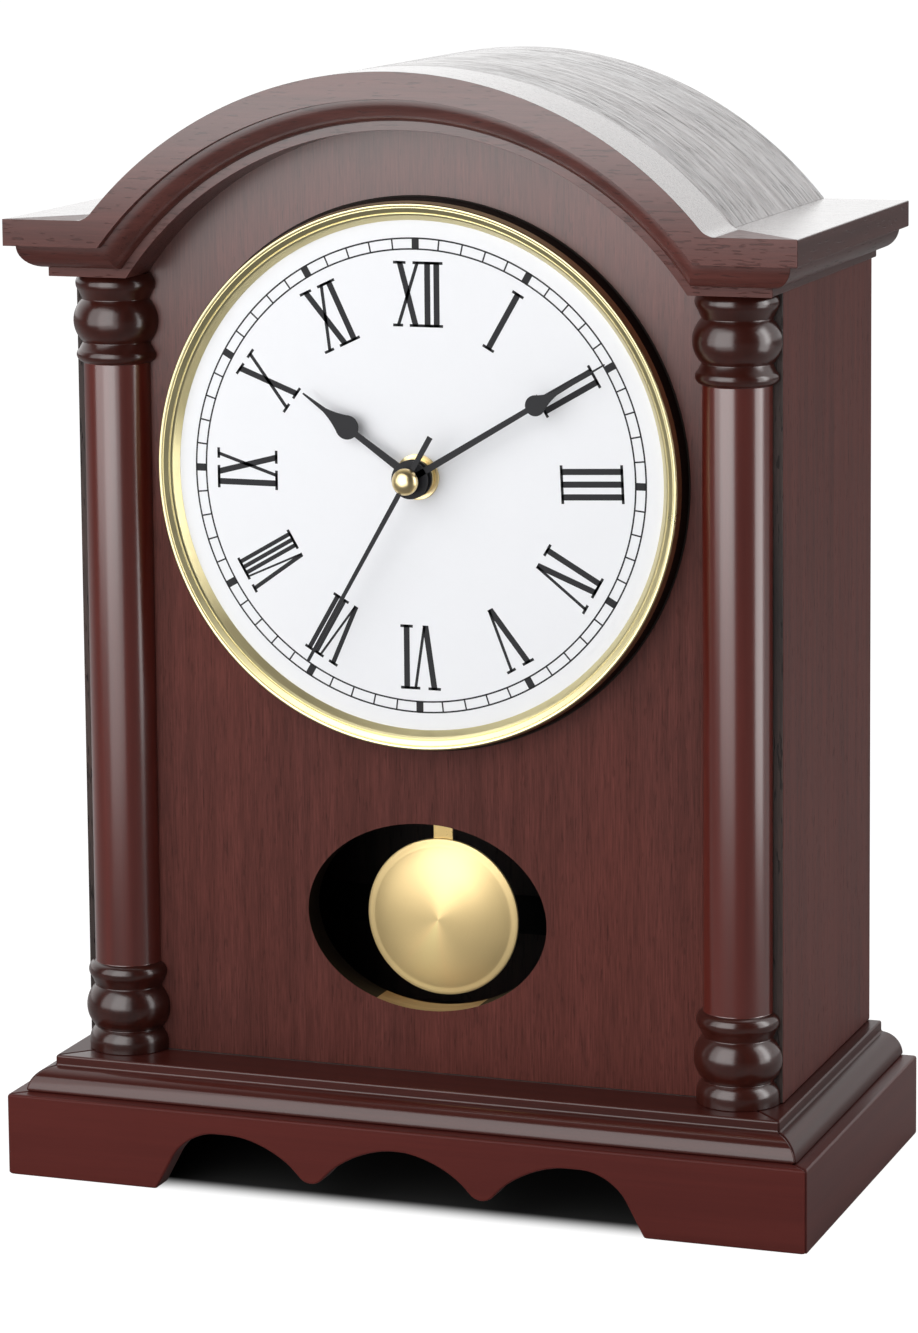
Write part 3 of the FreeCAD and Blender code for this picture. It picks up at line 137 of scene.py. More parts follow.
def thicken(mesh, way):
    """Pull the faces of a flat mesh along a direction."""
    top = bmesh.ops.extrude_face_region(mesh, geom=mesh.faces[:])["geom"]
    bmesh.ops.translate(mesh, verts=verts_in(top), vec=way)
    return tidy(mesh)


def pulled(mesh, way):
    """Fill a closed outline and pull the face along a direction."""
    bmesh.ops.edgeloop_fill(mesh, edges=mesh.edges)
    return thicken(mesh, way)


def sawn(mesh, point, away, cap=True):
    """Saw through at a plane, drop what lies on the away side, and close the cut or return its rim."""
    geom = mesh.verts[:] + mesh.edges[:] + mesh.faces[:]
    cut = bmesh.ops.bisect_plane(mesh, geom=geom, dist=SAME_SPOT, plane_co=point, plane_no=away,
                                 clear_outer=True)
    rim = [item for item in cut["geom_cut"] if isinstance(item, bmesh.types.BMEdge)]
    if cap:
        bmesh.ops.edgeloop_fill(mesh, edges=rim)
        return tidy(mesh)
    return rim


def mitred(mesh, x, y):
    """Saw both ends of a front length at 45 degrees."""
    for side, _ in SIDES:
        mesh = sawn(mesh, (side * x, y, 0), (side, 1, 0))
    return mesh


def turned(mesh, angle=math.tau, steps=96):
    """Turn an outline of (radius, distance along the axis) about the upright axis."""
    bmesh.ops.spin(mesh, geom=mesh.verts[:] + mesh.edges[:], cent=(0, 0, 0), axis=(0, 0, 1), dvec=(0, 0, 0),
                   angle=angle, steps=steps, use_merge=angle == math.tau, use_duplicate=False)
    return tidy(mesh)


def rotation(degrees, axis):
    """A turn about an axis."""
    return Matrix.Rotation(math.radians(degrees), 4, axis)


def moved(mesh, x=0, y=0, z=0, turn=None):
    """Turn a mesh, if asked, and carry it to its place."""
    if turn:
        bmesh.ops.transform(mesh, matrix=turn, verts=mesh.verts)
    bmesh.ops.translate(mesh, verts=mesh.verts, vec=(x, y, z))
    return mesh


def facing_front(outline, steps, y=0.0, z=0.0):
    """Turn an outline of (radius, depth) about an axis that looks out of the front."""
    return moved(turned(outline, steps=steps), y=y, z=z, turn=ALONG_Y)


def stored(name, mesh):
    """Mesh data made from a bmesh, which is let go."""
    data = bpy.data.meshes.new(name)
    mesh.to_mesh(data)
    mesh.free()
    return data


def joined(meshes):
    """Several shells kept as one mesh."""
    whole = bmesh.new()
    for mesh in meshes:
        part = stored("part", mesh)
        whole.from_mesh(part)
        bpy.data.meshes.remove(part)
    return whole


def added(name, data):
    """A new object of the scene."""
    item = bpy.data.objects.new(name, data)
    scene.collection.objects.link(item)
    return item


ALONG_Y = rotation(-90, "X")
print("an axis turned along Y:", ALONG_Y @ Vector((0, 0, 1)))

# %% [markdown]
# ## Finishing a piece
# Real edges are never knife sharp: lacquer and sandpaper leave a small round that catches the light. A
# Bevel modifier limited by angle puts that round on every crisp edge. The same helper gives the piece its
# finish and the body it rides on, and hides the CAD node that it stands for.

# %% The finishing helper
CRISP = math.radians(32)


def finished(name, mesh, stain, stands_for=None, body="case", round_edge=0.35, segments=2):
    """Make a mesh in millimetres a piece of the clock."""
    bmesh.ops.scale(mesh, vec=(MM, MM, MM), verts=mesh.verts)
    data = stored(name, mesh)
    data.shade_smooth()
    piece = added(name, data)
    for coat in stain if isinstance(stain, list) else [stain]:
        data.materials.append(coat)
    if round_edge:
        edge = piece.modifiers.new("rounded edges", "BEVEL")
        edge.width = round_edge * MM
        edge.segments = segments
        edge.limit_method = "ANGLE"
        edge.angle_limit = CRISP
        edge.harden_normals = True
    else:
        data.set_sharp_from_angle(angle=CRISP)
    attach(piece, body)
    if stands_for:
        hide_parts(stands_for)
    print(name, "has", len(data.polygons), "faces")


def cuboid(low, high):
    """A block between two corners."""
    mesh = bmesh.new()
    bmesh.ops.create_cube(mesh, size=1)
    bmesh.ops.scale(mesh, vec=high - low, verts=mesh.verts)
    return moved(mesh, *((low + high) / 2))


def block(node):
    """A block of a CAD node's size and place."""
    return cuboid(*(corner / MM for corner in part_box(node)))


def parted(mesh, choose):
    """Stain each face by the number that a choice makes from its middle and normal."""
    for face in mesh.faces:
        face.material_index = int(choose(face.calc_center_median(), face.normal))
    return mesh


# %% [markdown]
# ## Wood under stain and lacquer
# What the eye reads as wood is fine fibre along the grain, slow changes between red and brown, and a few
# open pores that the lacquer sinks into. All three are noise, stretched along one axis, so one node group
# serves every wooden piece and each material only turns it.


# %% Node helpers
def new_group(name, inputs, outputs):
    """An empty shader node group; each socket is written as its kind and its name."""
    group = bpy.data.node_groups.new(name, "ShaderNodeTree")
    for way, sockets in (("INPUT", inputs), ("OUTPUT", outputs)):
        for kind, label in (socket.split(" ", 1) for socket in sockets):
            group.interface.new_socket(label, in_out=way, socket_type="NodeSocket" + kind)
    return group, group.nodes.new("NodeGroupInput").outputs, group.nodes.new("NodeGroupOutput").inputs


def wire(tree, kind, values=None, **links):
    """Add a node, set its properties and input values, and link sockets to its inputs by number or name."""
    node = tree.nodes.new("ShaderNode" + kind)
    for key, value in (values or {}).items():
        if isinstance(key, int) or key in node.inputs:
            node.inputs[key].default_value = value
        else:
            setattr(node, key, value)
    for key, socket in links.items():
        name = key.replace("_", " ")
        tree.links.new(socket, node.inputs[int(key[1:])] if key[1:].isdigit() else node.inputs[name])
    return node


def fed(tree, socket, value):
    """Give an input a number, or a link where the value is a socket."""
    if isinstance(value, bpy.types.NodeSocket):
        tree.links.new(value, socket)
    else:
        socket.default_value = value


def maths(tree, operation, *terms):
    """A Math node over sockets and numbers; returns its value."""
    node = tree.nodes.new("ShaderNodeMath")
    node.operation = operation
    for slot, term in zip(node.inputs, terms):
        fed(tree, slot, term)
    return node.outputs[0]


def sums(tree):
    """Three short names for the sums of one tree: add, times and less."""
    return [partial(maths, tree, operation) for operation in ("ADD", "MULTIPLY", "SUBTRACT")]


def ramped(tree, value, start, end):
    """A value brought to 0..1 between two limits."""
    limits = {"From Min": start, "From Max": end, "interpolation_type": "SMOOTHSTEP"}
    return wire(tree, "MapRange", limits, Value=value).outputs[0]


def stretched(tree, vector, sizes, detail=3.0, rough=0.55):
    """Noise whose features have the given size, in metres, along each axis."""
    scaled = wire(tree, "VectorMath", {"operation": "MULTIPLY", 1: [1 / size for size in sizes]}, _0=vector)
    settings = {"Scale": 1.0, "Detail": detail, "Roughness": rough}
    return wire(tree, "TexNoise", settings, Vector=scaled.outputs[0]).outputs["Fac"]


def blended(tree, factor, a, b, mode="MIX"):
    """Two colours mixed by a factor."""
    node = wire(tree, "Mix", {"data_type": "RGBA", "blend_type": mode})
    for number, value in ((0, factor), (6, a), (7, b)):
        fed(tree, node.inputs[number], value)
    return node.outputs[2]


def shaded(tree, colour, tone):
    """A colour made lighter or darker by a tone about one."""
    tint = wire(tree, "CombineColor", Red=tone, Green=tone, Blue=tone)
    return blended(tree, 1.0, colour, tint.outputs[0], "MULTIPLY")


def spot_on_piece(tree):
    """Where a point lies on the piece, in metres."""
    return wire(tree, "TexCoord").outputs["Object"]


def from_axis(tree, parts):
    """How far a point lies from the Y axis."""
    add, times, _ = sums(tree)
    return maths(tree, "POWER", add(times(parts[0], parts[0]), times(parts[2], parts[2])), 0.5)


# %% The wood grain group
RESULTS = ["Color Color", "Float Roughness", "Float Height"]
grain, given, out = new_group(
    "wood grain", ["Vector Vector", "Color Dark", "Color Light", "Color Red", "Float Fibre", "Float Pores",
                   "Float Redness", "Float Roughness", "Float Streaks"], [*RESULTS, "Float Shine"])
FIBRE_SIZE, FIGURE_SIZE, CLOUD_SIZE = (0.0005, 0.0005, 0.012), (0.004, 0.004, 0.16), (0.06, 0.06, 0.12)
PORE_SIZE, PORE_COLOUR = (0.0006, 0.0006, 0.005), (0.006, 0.003, 0.003, 1)
add, times, less = sums(grain)
fibre = stretched(grain, given["Vector"], FIBRE_SIZE, 4.0, 0.7)
figure = stretched(grain, given["Vector"], FIGURE_SIZE)
cloud = stretched(grain, given["Vector"], CLOUD_SIZE, 2.0)
pore = times(ramped(grain, stretched(grain, given["Vector"], PORE_SIZE, 1.0), 0.64, 0.7), given["Pores"])
base = blended(grain, ramped(grain, figure, 0.35, 0.65), given["Dark"], given["Light"])
base = blended(grain, times(ramped(grain, cloud, 0.35, 0.7), given["Redness"]), base, given["Red"])
shade = add(1.0, times(times(less(fibre, 0.5), given["Fibre"]), 2.0))
base = blended(grain, times(pore, 0.7), shaded(grain, base, shade), PORE_COLOUR)
rough = add(given["Roughness"], times(less(shade, 1.0), 0.12))
height = times(times(fibre, given["Fibre"]), 0.35)
streak = times(ramped(grain, fibre, 0.56, 0.4), given["Streaks"])
for label, value in (("Color", base), ("Roughness", add(rough, times(pore, 0.2))),
                     ("Height", less(height, pore)), ("Shine", less(1.0, streak))):
    grain.links.new(value, out[label])
print("wood grain group has", len(grain.nodes), "nodes")


# %% Making a material
def new_material(name, **shader):
    """A material whose plain numbers sit on the Principled shader itself."""
    stain = bpy.data.materials.new(name)
    stain.use_nodes = True
    tree = stain.node_tree
    principled = tree.nodes["Principled BSDF"]
    for label, value in shader.items():
        principled.inputs[label.replace("_", " ")].default_value = value
    return stain, tree, principled


def dressed(name, group, vector, relief, values, **shader):
    """A material whose colour, roughness and relief come from a group that reads the vector."""
    stain, tree, principled = new_material(name, **shader)
    node = tree.nodes.new("ShaderNodeGroup")
    node.node_tree = group
    for label, value in values.items():
        node.inputs[label].default_value = (*value, 1) if isinstance(value, tuple) else value
    bump = wire(tree, "Bump", {"Distance": relief * MM}, Height=node.outputs["Height"])
    tree.links.new(vector(tree), node.inputs["Vector"])
    tree.links.new(node.outputs["Color"], principled.inputs["Base Color"])
    tree.links.new(node.outputs["Roughness"], principled.inputs["Roughness"])
    tree.links.new(bump.outputs[0], principled.inputs["Normal"])
    return stain, tree, node, principled


def wood(name, along, dark, light, red, fibre=0.1, pores=0.0, redness=0.35, roughness=0.3, relief=0.01,
         coat=0.0, shine=0.1, polish=0.2, fade=None, streaks=0.0):
    """A stained wood; its lacquer grows between two heights, or is broken by the streaks of its fibre."""
    values = {"Dark": dark, "Light": light, "Red": red, "Fibre": fibre, "Pores": pores, "Redness": redness,
              "Roughness": roughness, "Streaks": streaks}
    stain, tree, node, principled = dressed(name, grain, along, relief, values, Specular_IOR_Level=shine,
                                            Coat_Weight=coat, Coat_Roughness=polish, Coat_IOR=1.9)
    share = node.outputs["Shine"] if streaks else None
    if fade:
        level = wire(tree, "SeparateXYZ", Vector=spot_on_piece(tree)).outputs[2]
        share = ramped(tree, level, *fade)
    if share:
        tree.links.new(maths(tree, "MULTIPLY", share, coat), principled.inputs["Coat Weight"])
    return stain


# %% [markdown]
# ## The stains
# The parts of the case were sprayed together, yet each shows its own wood: fine upright grain on the
# panels, open pores on the crown, almost none on the plinth and the turnings. The roof is veneer bent over
# the arch, so its pattern reads the angle round the arch as a length. The lacquer shines more towards the
# top, and the faces that look up get a paler stain with a stronger shine, a painted sheen.

# %% Ways of the grain
ARCH_Z, ARCH_R = 194.5, 112.3
GRAIN_ARC = 0.112
QUARTER = math.radians(90)


def laid(turn, tree):
    """Coordinates turned so that their third axis runs along the grain."""
    return wire(tree, "Mapping", {"Rotation": turn}, Vector=spot_on_piece(tree)).outputs[0]


def centred(height, tree):
    """Coordinates about an axis along Y at a height."""
    return wire(tree, "Mapping", {"Location": (0, 0, -height * MM)}, Vector=spot_on_piece(tree)).outputs[0]


def round_the_arch(tree):
    """Coordinates whose third axis runs along the arch."""
    parts = wire(tree, "SeparateXYZ", Vector=centred(ARCH_Z, tree)).outputs
    arc = maths(tree, "MULTIPLY", maths(tree, "ARCTAN2", parts[0], parts[2]), GRAIN_ARC)
    return wire(tree, "CombineXYZ", X=from_axis(tree, parts), Y=parts[1], Z=arc).outputs[0]


up, across, inward = (partial(laid, turn) for turn in ((0, 0, 0), (0, QUARTER, 0), (QUARTER, 0, 0)))

# %% Stains for each part
DARK, BROWN, CHERRY = (0.08, 0.022, 0.017), (0.104, 0.029, 0.023), (0.13, 0.032, 0.024)
panel_wood = wood("panel stain", up, DARK, BROWN, CHERRY, fibre=0.9, pores=0.3, redness=0.6, roughness=0.45,
                  relief=0.08, coat=0.6, polish=0.3, fade=(0.17, 0.315))
side_wood = wood("side stain", up, (0.09, 0.029, 0.025), (0.118, 0.038, 0.032), (0.135, 0.037, 0.03),
                 fibre=0.9, pores=0.4, roughness=0.5, relief=0.08, shine=0.12)
crown_wood = wood("crown stain", across, (0.075, 0.024, 0.02), (0.105, 0.034, 0.028), (0.125, 0.034, 0.028),
                  fibre=0.35, pores=0.5, roughness=0.34, relief=0.15, coat=0.55, shine=0.15,
                  fade=(0.252, 0.3))
# Painted sheen: a paler, greyer stain with full shine for the faces that look up.
painted_sheen_top = wood("painted sheen on crown top", across, (0.05, 0.026, 0.023), (0.09, 0.05, 0.045), (0.1, 0.05, 0.045),
                 fibre=0.4, pores=0.5, redness=0.3, roughness=0.25, relief=0.05, coat=1.0, shine=1.0,
                 streaks=0.25)
return_wood = wood("return stain", inward, (0.055, 0.024, 0.022), (0.075, 0.032, 0.029), CHERRY, fibre=0.2,
                   pores=0.5, redness=0.3, roughness=0.34, relief=0.05, shine=0.2)
roof_wood = wood("roof stain", round_the_arch, (0.035, 0.02, 0.018), (0.085, 0.05, 0.045),
                 (0.09, 0.045, 0.04), fibre=0.9, pores=1.0, redness=0.2, relief=0.2, coat=1.0, shine=0.45,
                 polish=0.15, streaks=1.0)
plinth_wood = wood("plinth stain", across, (0.092, 0.018, 0.015), (0.106, 0.021, 0.017),
                   (0.112, 0.022, 0.018), fibre=0.08, redness=0.5, roughness=0.35)
side_plinth_wood = wood("side plinth stain", inward, (0.078, 0.02, 0.018), (0.09, 0.023, 0.02), CHERRY,
                        fibre=0.08, redness=0.3, roughness=0.35, shine=0.15)
moulding_wood = wood("moulding stain", across, (0.056, 0.012, 0.009), (0.075, 0.016, 0.012),
                     (0.085, 0.018, 0.014), pores=0.05, coat=0.3, polish=0.1)
side_moulding_wood = wood("side moulding stain", inward, (0.045, 0.012, 0.01), (0.062, 0.016, 0.013),
                          (0.075, 0.018, 0.015), pores=0.05, redness=0.25, shine=0.12)
turned_wood = wood("turned stain", up, (0.08, 0.01, 0.006), (0.105, 0.013, 0.008), (0.125, 0.016, 0.01),
                   redness=0.5, coat=0.85, shine=0.15)
bead_wood = wood("bead stain", up, (0.028, 0.006, 0.004), (0.042, 0.008, 0.005), (0.055, 0.01, 0.006),
                 redness=0.5, coat=0.5)
inner_wood = wood("inside stain", up, (0.02, 0.01, 0.008), (0.04, 0.02, 0.015), (0.05, 0.02, 0.014),
                  fibre=0.7, pores=0.5, redness=0.2, roughness=0.62, relief=0.1, shine=0.5)
reveal_dark = wood("dark reveal", across, (0.003, 0.0015, 0.001), (0.006, 0.003, 0.002),
                   (0.008, 0.003, 0.002), fibre=0.5, pores=0.3, redness=0.4, roughness=0.6, relief=0.06)
# The sill's pale tan is bare wood with a painted reflection of the brass bob.
sill_tan_and_reflection = wood("tan sill with painted reflection", across, (0.22, 0.13, 0.05), (0.32, 0.2, 0.09), (0.28, 0.15, 0.06), fibre=0.3,
                  pores=0.1, redness=0.4, roughness=0.4, relief=0.06, shine=0.3)
raw_edge = wood("raw sawn edge", up, (0.006, 0.003, 0.003), (0.03, 0.014, 0.011), (0.09, 0.045, 0.035),
                fibre=1.4, pores=1.0, redness=0.4, roughness=0.6, relief=0.6, shine=0.5)
print("stains:", len(bpy.data.materials))

# %% [markdown]
# ## Brass, plastic and paint
# Spun brass carries fine rings from the polishing wheel: noise that reads only the distance from the axis.
# A painted highlight, a fan of light painted into the colour of the bob, reads the angle round it. Plastics
# and paint get a faint grain, because a perfectly even surface looks like nothing real.

# %% The spun rings group
rings, given, out = new_group("spun rings and painted highlight", [
    "Vector Vector", "Color Color", "Float Ring Size", "Float Roughness", "Float Wedge"], RESULTS)
FAN_TURN, FAN_LEVEL = 0.3, 0.4
add, times, less = sums(rings)
parts = wire(rings, "SeparateXYZ", Vector=given["Vector"]).outputs
distance = maths(rings, "DIVIDE", from_axis(rings, parts), given["Ring Size"])
settings = {"noise_dimensions": "1D", "Scale": 1.0, "Detail": 3.0, "Roughness": 0.7}
streak = wire(rings, "TexNoise", settings, W=distance).outputs["Fac"]
wear = wire(rings, "TexNoise", {"Scale": 120.0, "Detail": 3.0}, Vector=given["Vector"]).outputs["Fac"]
# The fan is a painted highlight: the colour grows lighter in two opposite wedges round the axis.
angle = times(less(maths(rings, "ARCTAN2", parts[0], parts[2]), FAN_TURN), 2.0)
highlight_fan = maths(rings, "POWER", add(0.5, times(maths(rings, "COSINE", angle), 0.5)), 2.0)
tone = add(add(0.9, times(streak, 0.2)), times(less(highlight_fan, FAN_LEVEL), given["Wedge"]))
rings.links.new(shaded(rings, given["Color"], tone), out["Color"])
rings.links.new(add(given["Roughness"], times(less(wear, 0.5), 0.12)), out["Roughness"])
rings.links.new(streak, out["Height"])

# %% The fine grain group
speckle, given, out = new_group("fine grain", [
    "Vector Vector", "Color Color", "Float Size", "Float Amount", "Float Roughness"], RESULTS)
add, times, less = sums(speckle)
scaled = wire(speckle, "VectorMath", {"operation": "SCALE"}, _0=given["Vector"],
              Scale=maths(speckle, "DIVIDE", 1.0, given["Size"]))
dust = wire(speckle, "TexNoise", {"Scale": 1.0, "Detail": 2.0}, Vector=scaled.outputs[0]).outputs["Fac"]
smear = wire(speckle, "TexNoise", {"Scale": 60.0, "Detail": 4.0}, Vector=given["Vector"]).outputs["Fac"]
swing = times(add(less(dust, 0.5), less(smear, 0.5)), given["Amount"])
speckle.links.new(shaded(speckle, given["Color"], add(1.0, swing)), out["Color"])
speckle.links.new(add(given["Roughness"], swing), out["Roughness"])
speckle.links.new(dust, out["Height"])
print("groups:", [group.name for group in bpy.data.node_groups])


# %% Metals, plastics and paint
def spun(name, colour, axis_z, roughness=0.3, relief=0.002, metallic=1.0, wedge=0.0):
    """Metal turned or brushed in rings round an axis along Y at a height, with as much painted highlight as
    asked.
    """
    values = {"Color": colour, "Ring Size": 0.12 * MM, "Roughness": roughness, "Wedge": wedge}
    return dressed(name, rings, partial(centred, axis_z), relief, values, Metallic=metallic)[0]


def plain(name, colour, size=0.4, amount=0.1, roughness=0.4, relief=0.01, **shader):
    """Plastic, paint, ink or sheet metal with a faint grain."""
    values = {"Color": colour, "Size": size * MM, "Amount": amount, "Roughness": roughness}
    return dressed(name, speckle, spot_on_piece, relief, values, **shader)[0]


DIAL_Z, BOB_Z = 197.0, 72.4
bezel_brass = spun("polished brass", (0.74, 0.66, 0.38), DIAL_Z)
# Painted shade: the dark colour of the bezel's outer wall and of the black ring at its foot.
bezel_shade = plain("bezel wall painted shade", (0.012, 0.007, 0.005), amount=0.2, roughness=0.5,
                    Specular_IOR_Level=0.1)
# The bob's colour carries a painted highlight, fanned round its centre.
bob_brass = spun("brushed brass", (0.88, 0.66, 0.31), BOB_Z, roughness=0.4, relief=0.02, metallic=0.5,
                 wedge=0.42)
cap_brass = spun("cap brass", (0.84, 0.68, 0.38), DIAL_Z, relief=0.001)
plain_brass = plain("sheet brass", (0.72, 0.52, 0.22), amount=0.12, roughness=0.3, Metallic=1.0)
steel = plain("bright steel", (0.56, 0.56, 0.57), roughness=0.28, Metallic=1.0)
pan_steel = plain("painted steel", (0.55, 0.55, 0.56), amount=0.08, roughness=0.45)
dial_white = plain("dial enamel", (0.87, 0.88, 0.91), amount=0.015, roughness=0.42, relief=0.002)
ink = plain("dial ink", (0.04, 0.04, 0.043), amount=0.2, roughness=0.6, relief=0.002,
            Specular_IOR_Level=0.05)
hand_black = plain("hand lacquer", (0.024, 0.024, 0.027), amount=0.12, roughness=0.45, relief=0.003,
                   Specular_IOR_Level=0.15)
movement_black = plain("movement plastic", (0.018, 0.018, 0.019), size=0.3, amount=0.15, roughness=0.5,
                       relief=0.02)
gear_white = plain("gear plastic", (0.62, 0.6, 0.54), amount=0.05, relief=0.004)
catch_white = plain("catch plastic", (0.55, 0.53, 0.48), size=0.3, roughness=0.45, relief=0.02)
board_green = plain("board laminate", (0.02, 0.1, 0.05), amount=0.25, roughness=0.35)
copper = plain("copper winding", (0.62, 0.24, 0.1), size=0.12, amount=0.3, roughness=0.35, relief=0.03,
               Metallic=1.0)
cell_blue = plain("cell jacket", (0.03, 0.05, 0.12), roughness=0.3, relief=0.004)

# %% [markdown]
# ## The plinth
# The plinth is four boards, mitred at the front corners. Its front board is sawn to a scalloped apron,
# drawn by its corners alone: bevelling a corner vertex by the radius over the tangent of half the corner's
# angle makes each tangent arc.


# %% Rounding corners of an outline
def rounded_outline(corners):
    """A closed outline from (x, z, radius) corners, each with a radius bevelled to a round."""
    places = [Vector(corner[:2]) for corner in corners]
    mesh = Pen(*places[0]).line(*places[1:]).close()
    for i, vert in enumerate(mesh.verts[:]):
        radius = corners[i][2]
        if radius:
            after = places[(i + 1) % len(places)]
            half = (places[i - 1] - places[i]).angle(after - places[i]) / 2
            bmesh.ops.bevel(mesh, geom=[vert], offset=radius / math.tan(half), offset_type="OFFSET",
                            segments=12, profile=0.5, affect="VERTICES", material=-1)
    return mesh


# %% Plinth front board
HALF, FRONT, BACK, PLINTH_Z, PLINTH_WALL = 114.5, -58.0, 58.0, 22.8, 8.0
SCALLOP_Z, CUSP_Z, SCALLOP_R, CUSP_R, LAST_R = 16.9, 3.6, 26, 4.5, 14
right = [(12, SCALLOP_Z, SCALLOP_R), (24.5, CUSP_Z, CUSP_R), (37, SCALLOP_Z, SCALLOP_R),
         (61, SCALLOP_Z, LAST_R), (70, 0, 0), (HALF, 0, 0), (HALF, PLINTH_Z, 0)]
left = [(-x, z, radius) for x, z, radius in reversed(right)]
apron = moved(pulled(rounded_outline(right + left), (0, PLINTH_WALL, 0)), y=FRONT)
finished("scalloped_apron", mitred(apron, HALF, FRONT), plinth_wood, "plinth_front_rail",
         round_edge=0.7)

# %% Plinth side and back boards
for side, word in SIDES:
    board = sawn(block(f"plinth_{word}_rail"), (side * HALF, FRONT, 0), (-side, -1, 0))
    finished(f"{word}_plinth_board", board, side_plinth_wood, f"plinth_{word}_rail",
             round_edge=0.7)
finished("back_plinth_board", block("plinth_back_rail"), plinth_wood, "plinth_back_rail",
         round_edge=0.5)

# %% [markdown]
# ## The base moulding
# A length of moulding is one section pulled along its run: a quarter round under a square edge. It is run
# longer than needed, turned to its side and sawn at 45 degrees, as a joiner does it.

# %% Base moulding in three mitred lengths
LEDGE, ROUND, SHELF_Z, MOULDING_IN = 4.0, 6.3, 32.1, 22
LONG = 240
SLOPE = math.sqrt(0.5)


def base_section():
    """The section of the base moulding, outer edge at zero and towards -X."""
    top = SHELF_Z - PLINTH_Z
    pen = Pen(MOULDING_IN, 0).line((0, 0)).arc((ROUND - ROUND * SLOPE, ROUND * SLOPE), (ROUND, ROUND))
    return pen.line((ROUND, top), (MOULDING_IN, top)).close()


def front_strip(section):
    """A moulding that faces -Y, run to both sides of the middle."""
    return moved(moved(pulled(section, (0, LONG, 0)), y=-LONG / 2), turn=rotation(90, "Z"))


def side_strip(section, side, x, y, z):
    """A moulding along one side, sawn on the mitre in front and square behind."""
    strip = moved(front_strip(section), side * x, z=z, turn=rotation(side * 90, "Z"))
    return sawn(sawn(strip, (side * x, y, 0), (-side, -1, 0)), (0, BACK, 0), (0, 1, 0))


edge_x, edge_y = HALF - LEDGE, FRONT + LEDGE
strip = mitred(moved(front_strip(base_section()), y=edge_y, z=PLINTH_Z), edge_x, edge_y)
finished("front_base_moulding", strip, moulding_wood, "base_moulding_front", round_edge=0.6,
         segments=3)
for side, word in SIDES:
    strip = side_strip(base_section(), side, edge_x, edge_y, PLINTH_Z)
    finished(f"{word}_base_moulding", strip, side_moulding_wood, f"base_moulding_{word}",
             round_edge=0.6, segments=3)
finished("base_board_inside", block("base_board"), inner_wood, "base_board")

# %% [markdown]
# ## The side panels
# The sides are plain boards with rounded arrises. Their front edges beside the columns were never sanded,
# so those faces get the stain of a raw sawn edge.

# %% Side panels
PANEL_Y, PANEL_WALL = -31.5, 8.0
for side, word in SIDES:
    board = parted(block(f"side_panel_{word}"), lambda spot, normal: normal.y < -0.9)
    finished(f"{word}_side_board", board, [side_wood, raw_edge], f"side_panel_{word}",
             round_edge=0.5)

# %% [markdown]
# ## The front panel
# The front is one board with a round hole for the dial and an oval window. The outline and both holes are
# loops of edges, and triangle_fill makes the flat face between them. Pulling it back gives the board and
# the walls of both openings. The window's wall is dark, and its sill is a pale tan: bare wood with a painted
# reflection of the brass bob.

# %% Front panel
INSIDE, CROWN_TOP, CROWN_BOTTOM, ROOF_IN = 88.7, 265.6, 258.3, 108.3
DIAL_HOLE, WINDOW_HALF, WINDOW_RISE, WINDOW_Z = 65.1, 34.5, 26, 75.2
roof_half = math.sqrt(ROOF_IN ** 2 - (CROWN_TOP - ARCH_Z) ** 2)


def panel_outline():
    """The outline of the front board, up to the underside of the roof."""
    pen = Pen(-roof_half, CROWN_TOP)
    pen.line((-roof_half, CROWN_BOTTOM), (-INSIDE, CROWN_BOTTOM), (-INSIDE, SHELF_Z), (INSIDE, SHELF_Z),
             (INSIDE, CROWN_BOTTOM), (roof_half, CROWN_BOTTOM), (roof_half, CROWN_TOP))
    return pen.arc((0, ARCH_Z + ROOF_IN), (-roof_half, CROWN_TOP), 64).close()


def add_hole(mesh, radius, z, squash=1.0):
    """Add a circle, or an oval, to an outline in the XZ plane."""
    verts = bmesh.ops.create_circle(mesh, radius=radius, segments=128, cap_ends=False)["verts"]
    bmesh.ops.scale(mesh, vec=(1, squash, 1), verts=verts)
    bmesh.ops.rotate(mesh, verts=verts, cent=(0, 0, 0), matrix=rotation(90, "X").to_3x3())
    bmesh.ops.translate(mesh, verts=verts, vec=(0, 0, z))


def panel_stain(spot, normal):
    """The panel's own stain outside, and the reveals' on the wall of the window."""
    far = math.hypot(spot.x / WINDOW_HALF, (spot.z - WINDOW_Z) / WINDOW_RISE)
    if abs(normal.y) > 0.5 or far > 1.1:
        return 0
    # Faces on the sill that look up get the tan with the painted reflection.
    return 2 if normal.z > 0.94 else 1


front_panel = panel_outline()
add_hole(front_panel, DIAL_HOLE, DIAL_Z)
add_hole(front_panel, WINDOW_HALF, WINDOW_Z, WINDOW_RISE / WINDOW_HALF)
bmesh.ops.triangle_fill(front_panel, use_beauty=True, edges=front_panel.edges[:])
front_panel = moved(thicken(front_panel, (0, PANEL_WALL, 0)), y=PANEL_Y)
finished("front_board", parted(front_panel, panel_stain), [panel_wood, reveal_dark, sill_tan_and_reflection],
         "front_panel")

# %% [markdown]
# ## The arched crown board
# The board over the dial carries a flat band, a quarter round and a small square edge. Its section is spun
# round the arch and sawn on the mitre where arch and wing meet, and the open edges of that cut are pulled
# sideways, so the moulding runs into the wings without a seam. The faces that look up get a paler, shinier
# stain: a painted sheen.

